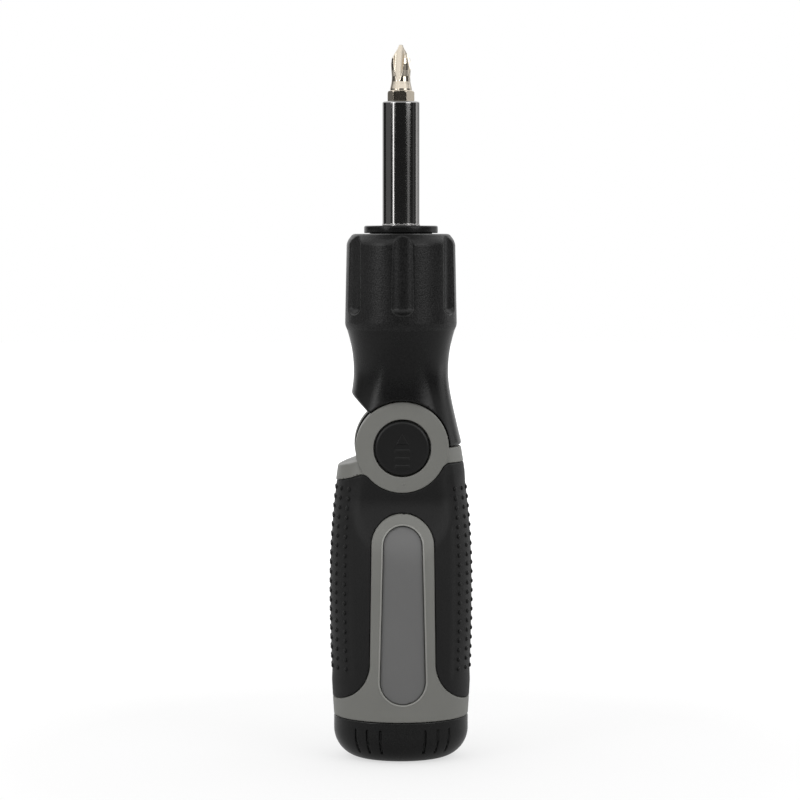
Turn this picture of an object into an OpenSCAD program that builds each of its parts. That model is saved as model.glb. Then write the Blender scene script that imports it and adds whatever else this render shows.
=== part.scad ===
// Ratcheting screwdriver with a swinging head, in millimetres.
// It stands on its end cap: the origin is the middle of the cap's flat base and +Z runs up to the bit.
// The button and the label face -Y. The head swings towards -X.

/* [Handle] */
// Greatest width of the handle
grip_w = 39; // [34:0.5:44]
// Height of the widest place
grip_w_z = 47; // [42:0.5:52]
// Width of the handle at the cap seam
seam_w = 36.5; // [33:0.5:38]
// Width of the handle at the height of the hub
hub_w = 32.6; // [31.6:0.2:36]
// Depth of the oval handle as a share of its width
depth_share = 0.9; // [0.86:0.01:0.96]
// Height of the seam between the end cap and the handle
seam_z = 11.6; // [10:0.2:14]
// Thickness of the hard shell under the soft grip
shell_t = 2.3; // [1.8:0.1:2.8]
// Thickness of the soft grip
grip_t = 1.5; // [1:0.1:1.8]
// How far below the swing axis the flat cheeks of the handle end
cheek_drop = 13; // [12:0.5:16]
// Length over which the cheeks swell to the full depth
cheek_blend = 20; // [16:1:24]

/* [Hub] */
// Height of the swing axis
hub_z = 84.8; // [83:0.2:88]
// Radius of the two ears
ear_r = 12.5; // [12.3:0.1:12.8]
// Thickness of one ear
ear_t = 4.9; // [4.6:0.1:5.4]
// Depth across both ears
hub_d = 23; // [22.6:0.2:24.6]
// Side gap between an ear and the knuckle
ear_side_gap = 0.2; // [0.1:0.05:0.3]
// Gap round an ear inside the neck
ear_gap = 0.25; // [0.2:0.05:0.4]
// Radius of the knuckle between the ears
knuckle_r = 12.1; // [11.7:0.1:12.2]
// Gap between the knuckle and the cradle under it
cradle_gap = 0.3; // [0.2:0.05:0.4]
// Height of the trunnions on the knuckle that turn in the ears
trunnion_h = 0.9; // [0.6:0.1:1]
// Radius of the front trunnion
front_trunnion_r = 7.6; // [7.4:0.1:8.2]
// Radius of the rear trunnion
rear_trunnion_r = 5; // [4:0.2:6]
// Angle between the neck's cut face and straight up, in degrees
neck_cut_a = 43.4; // [42:0.2:46]
// Slope of the left shoulder below level, in degrees
shoulder_a = 16.4; // [15:0.2:18]
// Gap over the right shoulder
shoulder_gap = 0.4; // [0.3:0.1:0.6]

/* [Button] */
// Diameter of the button
button_d = 14.8; // [14:0.1:15.2]
// Gap round the button
button_gap = 0.45; // [0.3:0.05:0.6]
// Thickness of the button's head
button_t = 1.1; // [0.9:0.1:1.2]
// Bevel round the button's face
button_bevel = 0.5; // [0.3:0.1:0.7]
// How far the button stands out of its ear
button_proud = 0.3; // [0.2:0.1:0.6]
// Travel of the button
button_travel = 1.8; // [1.6:0.1:2]
// Radius of the button's stem
button_stem_r = 3.4; // [3:0.1:3.8]
// Tip radius of the lock gear
lock_tip_r = 5.8; // [5.6:0.1:6]
// Depth of the lock gear's teeth
lock_tooth = 0.6; // [0.5:0.05:0.7]
// Length of the lock gear
lock_len = 4; // [3.8:0.1:4.4]
// Wire of the button spring
button_wire = 0.7; // [0.5:0.05:0.8]

/* [Neck] */
// Radius of the neck under the collar
neck_top_r = 14.7; // [14:0.1:15]
// Radius of the waist
waist_r = 12.8; // [12.7:0.1:13.2]
// Height of the waist above the swing axis
waist_up = 20.3; // [19:0.1:22]
// Half width of the neck at the right shoulder
neck_low_r = 15.9; // [15.2:0.1:16.2]
// How far the neck stands proud of the ears, front and back
neck_proud = 0.8; // [0.4:0.1:1.2]
// Radius of the stem inside the collar
stem_r = 10.8; // [10.7:0.05:10.9]
// Radius of the hollow core under the shaft
core_r = 4.6; // [4:0.2:5]
// Depth of that core
core_depth = 14; // [8:1:16]

/* [Collar] */
// Height of the collar's bottom edge above the swing axis
collar_up = 32; // [31:0.2:33]
// Height of the collar
collar_h = 25.4; // [24.6:0.2:27]
// Greatest radius, near the bottom
collar_low_r = 15.15; // [14.9:0.05:15.4]
// Radius near the top
collar_top_r = 14.7; // [14.6:0.05:14.9]
// Radius of the top face
collar_face_r = 12.2; // [11.6:0.1:12.8]
// Height of the slope round the top edge
collar_slope = 2.2; // [1.6:0.1:2.6]
// Width of a flute
flute_w = 6; // [5:0.2:6.4]
// Depth of a flute
flute_depth = 1.15; // [0.8:0.05:1.3]
// Height of the flutes' lower ends above the collar's bottom edge
flute_up = 3.9; // [3:0.1:5]
// Radius of the hole in the collar's top
collar_hole_r = 8.7; // [8.6:0.1:9.2]
// Thickness of the collar's top
collar_roof = 2; // [1.6:0.1:2.4]
// Radius of the ring above the collar
ring_r = 10; // [9.6:0.1:10.6]
// Thickness of that ring
ring_t = 2; // [1.8:0.1:2.6]
// Length of the ring's spigot inside the stem
ring_spigot = 4; // [3:0.2:5]
// How far the collar turns each way, in degrees
selector_a = 15; // [12:1:15]

/* [Ratchet] */
// Tip radius of the gear
gear_tip_r = 7.1; // [7.05:0.05:7.15]
// Root radius of the gear
gear_root_r = 6.05; // [5.95:0.05:6.1]
// Thickness of the gear
gear_t = 7; // [6:0.5:8]
// Distance of the pawl's pin from the shaft's axis
pawl_pin_at = 9; // [8.9:0.05:9.1]
// Radius of the pawl's pin
pawl_pin_r = 0.6; // [0.5:0.05:0.65]
// Radius of the pawl's back
pawl_back_r = 10.2; // [10.1:0.05:10.25]
// Radius of the pawl's inner side
pawl_inner_r = 7.7; // [7.65:0.05:7.75]
// Radius that the pawl's noses reach
pawl_nose_r = 6.7; // [6.65:0.05:6.8]
// Thickness of the pawl
pawl_t = 6.4; // [5:0.2:6.6]
// Radius of the bush round the shaft
bush_r = 8; // [7.8:0.1:8.1]
// Radius of the plunger in the collar
plunger_r = 1; // [0.8:0.05:1.2]
// Length of the plunger
plunger_len = 2.3; // [2:0.1:2.5]
// Length of the plunger's spring
plunger_spring_len = 1.2; // [1:0.1:1.4]
// Radius of the bump on the detent spring
detent_r = 0.8; // [0.7:0.05:0.9]
// Thickness of the detent spring
detent_t = 0.35; // [0.25:0.05:0.4]

/* [Shaft and bit] */
// Radius of the shaft
shaft_r = 5.05; // [4.9:0.05:5.2]
// How much further out the shaft reaches where it turns in the neck
journal_step = 0.2; // [0.15:0.05:0.3]
// Length of the shaft above its ring
shaft_up = 33.5; // [26:0.5:45]
// Width of the bits across their flats
hex_af = 6.35; // [6.3:0.01:6.4]
// How far the wings of a cross tip are turned from the hex, in degrees
cross_turn_a = 27; // [0:1:45]
// Length of a bit
bit_l = 25; // [24:0.5:27]
// Depth of the hex socket above the magnet
socket_depth = 9.7; // [8.5:0.1:11]
// Radius of the magnet
magnet_r = 3; // [2.6:0.1:3.1]
// Length of the magnet
magnet_l = 4; // [3:0.5:6]
// Thickness of the thrust washer
washer_t = 0.8; // [0.6:0.1:1]

/* [End cap] */
// Radius of the rounding between the base and the side
cap_round = 8; // [6:0.5:9]
// Thickness of the cap under the bit rack
cap_floor = 3.2; // [2.4:0.2:4]
// Radius of the cap's spigot
spigot_r = 12.9; // [12.8:0.05:13]
// Height of the spigot
spigot_h = 9; // [7:0.5:10]
// Thickness of the spigot's wall
spigot_t = 1.2; // [1:0.05:1.25]
// Radius of the circle that the spare bits stand on
spare_ring_r = 7.2; // [7.15:0.05:7.3]
// Height of the bit rack
rack_h = 9.8; // [8:0.2:12]
// Floor under the spare bits
rack_floor = 1.4; // [1:0.1:2]
// Width of the slots in the cap's side
slot_w = 0.8; // [0.5:0.1:1.1]
// Depth of those slots
slot_depth = 0.9; // [0.5:0.1:1.2]

/* [Label] */
// Half width of the grey label frame at its top
frame_top_r = 8.4; // [8:0.1:9]
// Half width of the frame lower down
frame_low_r = 8.8; // [8.6:0.1:9.4]
// Height of the centre of the frame's top arc
frame_top_z = 59; // [56:0.5:60]
// Radius of the label plate's upper end
label_top_r = 5.2; // [4.8:0.1:5.6]
// Radius of the label plate's lower end
label_low_r = 6.1; // [5.6:0.1:6.6]
// Height of the centre of the plate's lower end
label_low_z = 22.6; // [22:0.5:26]
// Depth of the plate's face below the frame
label_sunk = 0.4; // [0.2:0.1:0.6]
// Thickness of the plate
label_t = 0.8; // [0.6:0.1:1]
// Height of the soft grip's lower edge at the sides
grip_low_z = 15.8; // [15:0.2:17]
// Radius of the grip's lower inner corners
grip_corner_r = 11; // [9:0.5:11]
// Radius of the grey ring round the hub
hub_ring_r = 12; // [11.6:0.1:12.3]

/* [Screws] */
// Radius of the screws' thread
screw_r = 1.1; // [0.9:0.1:1.2]
// Radius of their heads
screw_head_r = 2; // [1.8:0.1:2.1]
// Height of their heads
screw_head_h = 1.5; // [1.2:0.1:1.8]
// Length of the thread
screw_len = 9.2; // [8:0.2:10]

/* [Hidden] */

// Overrun of every cut, and how far a cut across the whole width reaches
over = 1;
far = 2 * grip_w;
// Gaps: a press seat, a running fit, a seat, a loose end and a wide one
press_gap = 0.02;
run_gap = 0.06;
seat_gap = 0.1;
loose_gap = 0.2;
wide_gap = 0.3;

// Counts: steps along a curve, lock teeth, ratchet teeth and flutes
steps = 8;
cheek_steps = 6;
lock_teeth = 36;
teeth = 24;
flutes = 6;

// Handle
wall_t = shell_t + grip_t;
cheek_top_z = hub_z - cheek_drop;
cheek_low_z = cheek_top_z - cheek_blend;
form_top_z = hub_z + ear_r;
cradle_r = knuckle_r + cradle_gap;
room_top_z = hub_z - cradle_r - shell_t;
ear_in = hub_d / 2 - ear_t;
knuckle_in = ear_in - ear_side_gap;
spigot_top_z = seam_z + spigot_h;
spigot_hole_r = spigot_r + seat_gap;
rack_r = spigot_r - spigot_t - press_gap;

// Upper edge of the soft grip, as drops below the swing axis
grip_left_edge_drop = 9.6;
grip_left_inner_drop = 7.1;
grip_right_edge_drop = 4.5;
grip_right_inner_drop = 4.1;

// Button and lock, as places along Y
button_y = -hub_d / 2 - button_proud;
well_y = button_y + button_t + button_travel + seat_gap;
front_recess_y = -ear_in - trunnion_h - loose_gap;
lock_y = well_y + seat_gap;
lock_back_y = lock_y + lock_len;
lock_room_r = lock_tip_r + loose_gap;
spring_floor_y = knuckle_in - shell_t;
knuckle_spline_y = lock_back_y - loose_gap;
spline_gap = 0.1;
spline_flank_a = 0.6;
lock_shares = [0.34, 0.14];

// Neck and collar
waist_z = hub_z + waist_up;
collar_z = hub_z + collar_up;
neck_top_z = collar_z - loose_gap;
collar_top_z = collar_z + collar_h;
collar_bore_r = stem_r + run_gap;
stem_top_z = collar_top_z - collar_roof - loose_gap;
ring_z = collar_top_z + loose_gap;
shaft_top_z = ring_z + ring_t + shaft_up;
washer_up = 3;
washer_z = neck_top_z + washer_up;
shaft_low_z = washer_z + washer_t + seat_gap;
gear_z = shaft_low_z + seat_gap;
bush_z = gear_z + gear_t + loose_gap;
bush_top_z = stem_top_z - ring_spigot - seat_gap;
bit_low_z = shaft_top_z - socket_depth;
journal_r = shaft_r + journal_step;
journal_top_z = ring_z + ring_t + wide_gap;

// Ratchet
gear_pitch = 360 / teeth;
pawl_z = gear_z + (gear_t - pawl_t) / 2;
pawl_mid_z = gear_z + gear_t / 2;
nose_a = 2 * gear_pitch;
pawl_room_a = nose_a + gear_pitch;
pawl_room_r = gear_tip_r + wide_gap;
pawl_end_a = nose_a + 2;
pawl_inner_a = nose_a - 6;
gear_shares = [0.31, 0.11];
plunger_tip_share = 0.4;
plunger_coil_shares = [0.72, 0.22];
plunger_out_r = pawl_back_r + seat_gap + plunger_len;
pin_seat = 2;
leaf_r = stem_r - detent_t - wide_gap;
leaf_a = 24;
leaf_room_a = leaf_a + 2;
detent_z = bush_z + pin_seat;
detent_h = 4;

// Screws: how far out the upper and lower ones are, how far under the hub and over the seam,
// and how far their seats lie behind the parting plane
screw_high_x = 13.4;
screw_high_drop = 11;
screw_low_x = 15.1;
screw_low_up = 4.8;
screw_places = [[screw_high_x, hub_z - screw_high_drop], [screw_low_x, seam_z + screw_low_up]];
screw_seat = 5.4;
screw_slot_share = 0.6;

// Insert bits: heights are shares of the length, radii are shares of half the hex
turned_shares = [[0.528, 0.93], [0.548, 0.885], [0.636, 0.77], [0.768, 0.69], [0.82, 0.64],
    [0.964, 0.3], [1, 0.19]];
round_tip_shares = [[0.528, 0.93], [0.548, 0.885], [0.6, 0.74], [1, 0.74]];
shank_share = 0.484;
core_share = 0.25;
hex_rim_share = 0.02;
blade_shares = [0.6, 0.9];
star_low_share = 0.66;

// Their tips, as shares of the hex: flutes, webs and blades
cross_flute_share = 0.2;
cross_taper_a = 11;
web_share = 0.07;
star_flute_shares = [0.083, 0.11];
spare_shares = [0.05, 0.1, 0.1, 0.167, 0.63, 0.36];
spare_pitch_a = 60;
holder_rim = 0.6;

// Slots in the cap's side, as angles from the front and shares of the seam's height
slot_angles = [19.5, 31.6, 43.5];
slot_low_share = 0.17;
slot_high_share = 0.88;

// Half width of the handle at a height
function grip_hw(z) = grip_w / 2 - (z < grip_w_z
    ? (grip_w - seam_w) / 2 * pow((grip_w_z - z) / (grip_w_z - seam_z), 2)
    : (grip_w - hub_w) / 2 * pow((z - grip_w_z) / (hub_z - grip_w_z), 2));

// Smooth rise from 0 to 1, a point at a radius and angle, and a list turned round
function ease(t) = t * t * (3 - 2 * t);
function polar(r, a) = [r * cos(a), r * sin(a)];
function back_to_front(list) = [for (i = [len(list) - 1:-1:0]) list[i]];

// Round bar along Y, at a place across and up
module bar_y(r, y0, y1, x = 0, z = hub_z) {
    translate([x, y1, z]) rotate([90, 0, 0]) cylinder(r = r, h = y1 - y0, $fn = 64);
}

// An outline across and up, made solid from y0 to y1
module slab_y(y0, y1) {
    translate([0, y1, 0]) rotate([90, 0, 0]) linear_extrude(y1 - y0) children();
}

// The handle's oval body between two heights, drawn in by inset
module oval(inset, z0, z1) {
    scale([1, depth_share, 1]) rotate_extrude($fn = 96)
        polygon(concat([[0, z0]],
            [for (i = [0:steps]) let (z = z0 + (z1 - z0) * i / steps) [grip_hw(z) - inset, z]],
            [[0, z1]]));
}

// Side view of the handle: flat cheeks at the hub that swell to the full depth below
module cheeks(inset, z0, z1) {
    side = concat([[grip_w / 2 - inset, z0]],
        [for (i = [0:cheek_steps]) let (t = i / cheek_steps)
            [hub_d / 2 - inset + (grip_w - hub_d) / 2 * ease(1 - t), cheek_low_z + cheek_blend * t]],
        [[hub_d / 2 - inset, z1]]);
    rotate([90, 0, 90]) linear_extrude(2 * far, center = true)
        polygon(concat(side, [for (p = back_to_front(side)) [-p[0], p[1]]]));
}

module handle_form(inset, z0, z1) {
    intersection() {
        oval(inset, z0, z1);
        cheeks(inset, z0 - over, z1 + over);
    }
}

// Everything under the two shoulders, as an outline across and up
module under_shoulders() {
    polygon([[far, hub_z], [0, hub_z], [-far, hub_z - far * tan(shoulder_a)],
        [-far, -far], [far, -far]]);
}

// Where the soft grip lies, seen from the front
module grip_zone(y0, y1) {
    difference() {
        slab_y(y0, y1) polygon([[-far, grip_low_z], [far, grip_low_z],
            [far, hub_z - grip_right_edge_drop], [hub_ring_r - over, hub_z - grip_right_inner_drop],
            [-hub_ring_r + over, hub_z - grip_left_inner_drop],
            [-grip_w / 2 + over, hub_z - grip_left_edge_drop], [-far, hub_z - grip_left_edge_drop]]);
        bar_y(hub_ring_r, y0 - over, y1 + over);
        bar_y(frame_top_r, y0 - over, y1 + over, 0, frame_top_z);
        slab_y(y0 - over, y1 + over) polygon([[-frame_low_r, grip_low_z - over],
            [frame_low_r, grip_low_z - over], [frame_low_r, grip_low_z + grip_corner_r],
            [frame_top_r, frame_top_z], [-frame_top_r, frame_top_z],
            [-frame_low_r, grip_low_z + grip_corner_r]]);
        for (side = [-1, 1]) difference() {
            slab_y(y0 - over, y1 + over)
                translate([side * (frame_low_r + grip_corner_r / 2), grip_low_z + grip_corner_r / 2])
                square(grip_corner_r + press_gap, center = true);
            bar_y(grip_corner_r, y0 - 2 * over, y1 + 2 * over,
                side * (frame_low_r + grip_corner_r), grip_low_z + grip_corner_r);
        }
    }
}

// The label plate's outline grown by a gap
module label_zone(gap) {
    bar_y(label_top_r + gap, -far, 0, 0, frame_top_z);
    bar_y(label_low_r + gap, -far, 0, 0, label_low_z);
    slab_y(-far, 0) polygon([[-label_low_r - gap, label_low_z], [label_low_r + gap, label_low_z],
        [label_top_r + gap, frame_top_z], [-label_top_r - gap, frame_top_z]]);
}

// Hard shells, both halves together: the body, the two ears and the room inside
module handle_body() {
    difference() {
        union() {
            intersection() {
                handle_form(0, seam_z, form_top_z);
                slab_y(-far, far) under_shoulders();
            }
            for (y = [-hub_d / 2, ear_in]) bar_y(ear_r, y, y + ear_t);
        }
        difference() {
            grip_zone(-far, far);
            handle_form(grip_t, seam_z - over, form_top_z);
        }
        bar_y(cradle_r, -ear_in, ear_in);
        cylinder(r = spigot_hole_r, h = spigot_top_z + loose_gap, $fn = 96);
        handle_form(wall_t, spigot_top_z + seat_gap, room_top_z);
    }
}

module screw_holes() {
    for (p = screw_places, side = [-1, 1]) {
        bar_y(screw_r + run_gap, screw_seat - screw_len - loose_gap, screw_seat + over, side * p[0], p[1]);
        bar_y(screw_head_r + seat_gap, screw_seat, far, side * p[0], p[1]);
    }
}

module handle_front() color("dimgray") difference() {
    intersection() {
        handle_body();
        translate([-far, -far, 0]) cube([2 * far, far, 2 * far]);
    }
    difference() {
        label_zone(run_gap);
        handle_form(label_sunk + label_t, 0, form_top_z);
    }
    screw_holes();
    bar_y(button_d / 2 + button_gap, -far, well_y);
    spline_hole(well_y - over, 0);
    bar_y(front_trunnion_r + run_gap, front_recess_y, 0);
}

module handle_back() color("gray") difference() {
    intersection() {
        handle_body();
        translate([-far, 0, 0]) cube([2 * far, far, 2 * far]);
    }
    screw_holes();
    bar_y(rear_trunnion_r + run_gap, 0, ear_in + trunnion_h + loose_gap);
}

module grip_skin() {
    intersection() {
        difference() {
            handle_form(0, seam_z, form_top_z);
            handle_form(grip_t - press_gap, seam_z - over, form_top_z + over);
        }
        children();
    }
}

module grip_front() color("black") grip_skin() grip_zone(-far, 0);

module grip_back() color("black") difference() {
    grip_skin() grip_zone(0, far);
    screw_holes();
}

module label_plate() color("slategray") intersection() {
    difference() {
        handle_form(label_sunk, 0, form_top_z);
        handle_form(label_sunk + label_t - press_gap, -over, form_top_z + over);
    }
    label_zone(0);
}

module handle_screws() color("silver") for (p = screw_places, side = [-1, 1]) {
    bar_y(screw_r, screw_seat - screw_len, screw_seat + press_gap, side * p[0], p[1]);
    difference() {
        bar_y(screw_head_r, screw_seat, screw_seat + screw_head_h, side * p[0], p[1]);
        for (a = [0, 90]) translate([side * p[0], screw_seat + screw_head_h, p[1]]) rotate([0, a, 0])
            cube([2 * screw_head_r * screw_slot_share, screw_head_h, screw_r / 2], center = true);
    }
}

// Lock: a splined ring on the button's stem, held in the front ear and in the knuckle
function lock_points(grow) = [for (i = [0:lock_teeth - 1], k = [0:3])
    let (pitch = 360 / lock_teeth, foot = k == 0 || k == 3,
        half = lock_shares[foot ? 0 : 1] * pitch + (grow > 0 ? spline_flank_a : 0),
        r = lock_tip_r - (foot ? lock_tooth : 0) + grow)
    polar(r, (i + 0.5) * pitch + (k < 2 ? -half : half))];

module lock_spline(y0, y1, grow) {
    translate([0, y1, hub_z]) rotate([90, 0, 0]) linear_extrude(y1 - y0) polygon(lock_points(grow));
}

module spline_hole(y0, y1) lock_spline(y0, y1, spline_gap);

module lock_gear() color("silver") difference() {
    lock_spline(lock_y, lock_back_y, 0);
    bar_y(button_stem_r + press_gap, lock_y - over, lock_back_y + over);
}

module lock_button() color("black") {
    head_r = button_d / 2;
    translate([0, button_y, hub_z]) rotate([-90, 0, 0]) rotate_extrude($fn = 96)
        polygon([[0, 0], [head_r - button_bevel, 0], [head_r, button_bevel], [head_r, button_t],
            [lock_tip_r - lock_tooth, button_t], [lock_tip_r - lock_tooth, lock_y - button_y],
            [button_stem_r, lock_y - button_y], [button_stem_r, lock_back_y - button_y],
            [0, lock_back_y - button_y]]);
}

// A helical spring standing on the XY plane
module spring(r, wire, h, turns) {
    sides = 5;
    per_turn = 10;
    rings = turns * per_turn;
    points = [for (i = [0:rings], k = [0:sides - 1])
        let (a = 360 * i / per_turn, w = 360 * k / sides, out = r + wire / 2 * cos(w))
        [out * cos(a), out * sin(a), wire / 2 + (h - wire) * i / rings + wire / 2 * sin(w)]];
    walls = [for (i = [0:rings - 1], k = [0:sides - 1]) let (n = (k + 1) % sides)
        each [[i * sides + k, (i + 1) * sides + k, (i + 1) * sides + n],
            [i * sides + k, (i + 1) * sides + n, i * sides + n]]];
    caps = [for (k = [1:sides - 2]) each [[0, k, k + 1],
        [rings * sides, rings * sides + k + 1, rings * sides + k]]];
    polyhedron(points, concat(walls, caps), convexity = 8);
}

module button_spring() color("silver")
    translate([0, lock_back_y + press_gap, hub_z]) rotate([-90, 0, 0])
    spring(button_stem_r + button_wire / 2, button_wire, spring_floor_y - lock_back_y - 2 * press_gap, 5);

// Neck housing: waisted body, knuckle with two trunnions, and the stem that carries the ratchet
function neck_r(z) = z > waist_z
    ? waist_r + (neck_top_r - waist_r) * pow((z - waist_z) / (neck_top_z - waist_z), 2)
    : waist_r + (neck_low_r - waist_r) * pow((waist_z - z) / waist_up, 1.5);

module neck_body() {
    low = hub_z + shoulder_gap;
    slim = hub_d / 2 + neck_proud;
    side = concat([[slim, low - over]],
        [for (i = [0:cheek_steps]) let (t = i / cheek_steps)
            [slim + (neck_top_r - slim) * ease(t), form_top_z + (neck_top_z - form_top_z) * t]],
        [[neck_top_r, neck_top_z + over]]);
    difference() {
        intersection() {
            rotate_extrude($fn = 96) polygon(concat([[0, low]],
                [for (i = [0:2 * steps]) let (z = low + (neck_top_z - low) * i / (2 * steps))
                    [neck_r(z), z]],
                [[0, neck_top_z]]));
            rotate([90, 0, 90]) linear_extrude(2 * far, center = true)
                polygon(concat(side, [for (p = back_to_front(side)) [-p[0], p[1]]]));
        }
        slab_y(-far, far) polygon([[0, hub_z],
            [-far * sin(neck_cut_a), hub_z + far * cos(neck_cut_a)], [-far, -far], [0, -far]]);
        bar_y(ear_r + ear_gap, -far, -knuckle_in);
        bar_y(ear_r + ear_gap, knuckle_in, far);
    }
}

module neck_housing() color("black") difference() {
    union() {
        neck_body();
        bar_y(knuckle_r, -knuckle_in, knuckle_in);
        bar_y(front_trunnion_r, -knuckle_in - trunnion_h, 0);
        bar_y(rear_trunnion_r, 0, knuckle_in + trunnion_h);
        translate([0, 0, neck_top_z - over])
            cylinder(r = stem_r, h = stem_top_z - neck_top_z + over, $fn = 96);
    }
    spline_hole(-knuckle_in - trunnion_h - over, knuckle_spline_y);
    bar_y(lock_room_r, knuckle_spline_y - press_gap, spring_floor_y);
    translate([0, 0, washer_z - core_depth]) cylinder(r = core_r, h = core_depth + over, $fn = 64);
    translate([0, 0, washer_z]) cylinder(r = pawl_room_r, h = stem_top_z, $fn = 64);
    translate([0, 0, bush_z]) cylinder(r = bush_r + press_gap, h = stem_top_z, $fn = 64);
    pawl_room();
    pawl_pin_bar(pawl_pin_r + press_gap, press_gap);
    detent_room();
}

module pawl_room() {
    translate([0, 0, washer_z + washer_t]) rotate(-pawl_room_a)
        rotate_extrude(angle = 2 * pawl_room_a, $fn = 64)
        translate([gear_root_r, 0]) square([stem_r, bush_z - washer_z - washer_t + seat_gap]);
}

module pawl_pin_bar(r, grow) {
    translate([pawl_pin_at, 0, gear_z - pin_seat - grow])
        cylinder(r = r, h = gear_t + 2 * pin_seat + 2 * grow, $fn = 32);
}

module pawl_pin() color("silver") pawl_pin_bar(pawl_pin_r, 0);

// Slot in the stem for the detent leaf, and the leaf itself with its bump
module detent_room() {
    translate([0, 0, detent_z - seat_gap]) rotate(180 - leaf_room_a)
        rotate_extrude(angle = 2 * leaf_room_a, $fn = 64)
        translate([leaf_r - detent_t - press_gap, 0]) square([stem_r, detent_h + 2 * seat_gap]);
}

module detent_spring() color("silver") {
    translate([0, 0, detent_z]) rotate(180 - leaf_a) rotate_extrude(angle = 2 * leaf_a, $fn = 64)
        translate([leaf_r - detent_t, 0]) square([detent_t, detent_h]);
    difference() {
        translate([-leaf_r, 0, detent_z + seat_gap])
            cylinder(r = detent_r, h = detent_h - 2 * seat_gap, $fn = 32);
        translate([0, 0, detent_z - over])
            cylinder(r = leaf_r - detent_t / 2, h = detent_h + 2 * over, $fn = 96);
    }
}

// Fluted collar with a plunger pocket and three detent grooves
module selector_collar() color("black") difference() {
    rotate_extrude($fn = 96) polygon([[collar_bore_r, collar_z],
        [collar_low_r - collar_slope / 8, collar_z], [collar_low_r, collar_z + collar_slope / 2],
        [collar_top_r, collar_top_z - collar_slope], [collar_face_r, collar_top_z],
        [collar_hole_r, collar_top_z], [collar_hole_r, collar_top_z - collar_roof],
        [collar_bore_r, collar_top_z - collar_roof]]);
    flute_r = (pow(flute_w / 2, 2) + pow(flute_depth, 2)) / (2 * flute_depth);
    flute_z = collar_z + flute_up + flute_w / 2;
    for (i = [0:flutes - 1]) rotate(-90 + 360 * i / flutes)
        translate([collar_top_r - flute_depth + flute_r, 0, flute_z])
        rotate_extrude($fn = 64) polygon(concat([[0, -flute_r]],
            [for (a = [15:15:90]) [flute_r * sin(a), -flute_r * cos(a)]],
            [[flute_r, collar_h], [0, collar_h]]));
    translate([0, 0, pawl_mid_z]) rotate([0, 90, 0])
        cylinder(r = plunger_r + run_gap, h = plunger_out_r + plunger_spring_len, $fn = 32);
    for (a = [-selector_a, 0, selector_a]) rotate(180 + a)
        translate([leaf_r, 0, detent_z - loose_gap])
        cylinder(r = detent_r + seat_gap, h = detent_h + 2 * loose_gap, $fn = 32);
}

module pawl_plunger() color("silver") translate([plunger_out_r, 0, pawl_mid_z]) rotate([0, -90, 0]) {
    tip = plunger_r * plunger_tip_share;
    rotate_extrude($fn = 32) polygon([[0, 0], [plunger_r, 0], [plunger_r, plunger_len - tip],
        [plunger_r - tip, plunger_len], [0, plunger_len]]);
}

module plunger_spring() color("silver")
    translate([plunger_out_r + press_gap, 0, pawl_mid_z]) rotate([0, 90, 0])
    spring(plunger_r * plunger_coil_shares[0], plunger_r * plunger_coil_shares[1],
        plunger_spring_len - 2 * press_gap, 3);

module collar_retainer() color("black") difference() {
    rotate_extrude($fn = 96) polygon([[0, bush_top_z + seat_gap], [bush_r, bush_top_z + seat_gap],
        [bush_r, stem_top_z], [collar_hole_r - loose_gap, stem_top_z],
        [collar_hole_r - loose_gap, ring_z], [ring_r, ring_z],
        [ring_r, ring_z + ring_t - collar_slope / 4], [ring_r - collar_slope / 4, ring_z + ring_t],
        [0, ring_z + ring_t]]);
    cylinder(r = journal_r + seat_gap, h = shaft_top_z, $fn = 64);
}

module shaft_bush() color("goldenrod") difference() {
    translate([0, 0, bush_z]) cylinder(r = bush_r, h = bush_top_z - bush_z, $fn = 64);
    cylinder(r = journal_r + run_gap, h = shaft_top_z, $fn = 64);
}

module thrust_washer() color("silver") translate([0, 0, washer_z])
    cylinder(r = pawl_room_r - seat_gap, h = washer_t, $fn = 64);

// Gear on the shaft, with a valley at every whole number of pitches from the pawl's middle
module ratchet_gear() color("silver") difference() {
    points = [for (i = [0:teeth - 1], k = [0:3])
        let (foot = k == 0 || k == 3, half = gear_shares[foot ? 0 : 1] * gear_pitch,
            r = foot ? gear_root_r : gear_tip_r)
        polar(r, (i + 0.5) * gear_pitch + (k < 2 ? -half : half))];
    translate([0, 0, gear_z]) linear_extrude(gear_t) polygon(points);
    cylinder(r = journal_r + press_gap, h = shaft_top_z, $fn = 64);
}

// Rocker pawl with a nose at each end, drawn round the shaft with its middle on +X
module pawl() color("silver") difference() {
    tip = gear_shares[1] * gear_pitch;
    back = [for (i = [-steps:steps]) polar(pawl_back_r, i * pawl_end_a / steps)];
    inner = [for (i = [steps:-1:-steps]) polar(pawl_inner_r, i * pawl_inner_a / steps)];
    points = concat(back,
        [polar(pawl_inner_r, pawl_end_a), polar(pawl_nose_r, nose_a + tip), polar(pawl_nose_r, nose_a - tip)],
        inner,
        [polar(pawl_nose_r, tip - nose_a), polar(pawl_nose_r, -tip - nose_a),
            polar(pawl_inner_r, -pawl_end_a)]);
    translate([0, 0, pawl_z]) linear_extrude(pawl_t) polygon(points);
    pawl_pin_bar(pawl_pin_r + run_gap, over);
}

// Shaft with a hex socket and a seat for the magnet
module bit_holder() color("silver") difference() {
    rotate_extrude($fn = 96) polygon([[0, shaft_low_z], [journal_r - holder_rim, shaft_low_z],
        [journal_r, shaft_low_z + holder_rim], [journal_r, journal_top_z], [shaft_r, journal_top_z],
        [shaft_r, shaft_top_z - holder_rim], [shaft_r - holder_rim, shaft_top_z], [0, shaft_top_z]]);
    translate([0, 0, bit_low_z - press_gap]) hex_bar(hex_af + seat_gap, socket_depth + over);
    translate([0, 0, bit_low_z - magnet_l]) cylinder(r = magnet_r + press_gap, h = magnet_l, $fn = 48);
}

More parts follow.
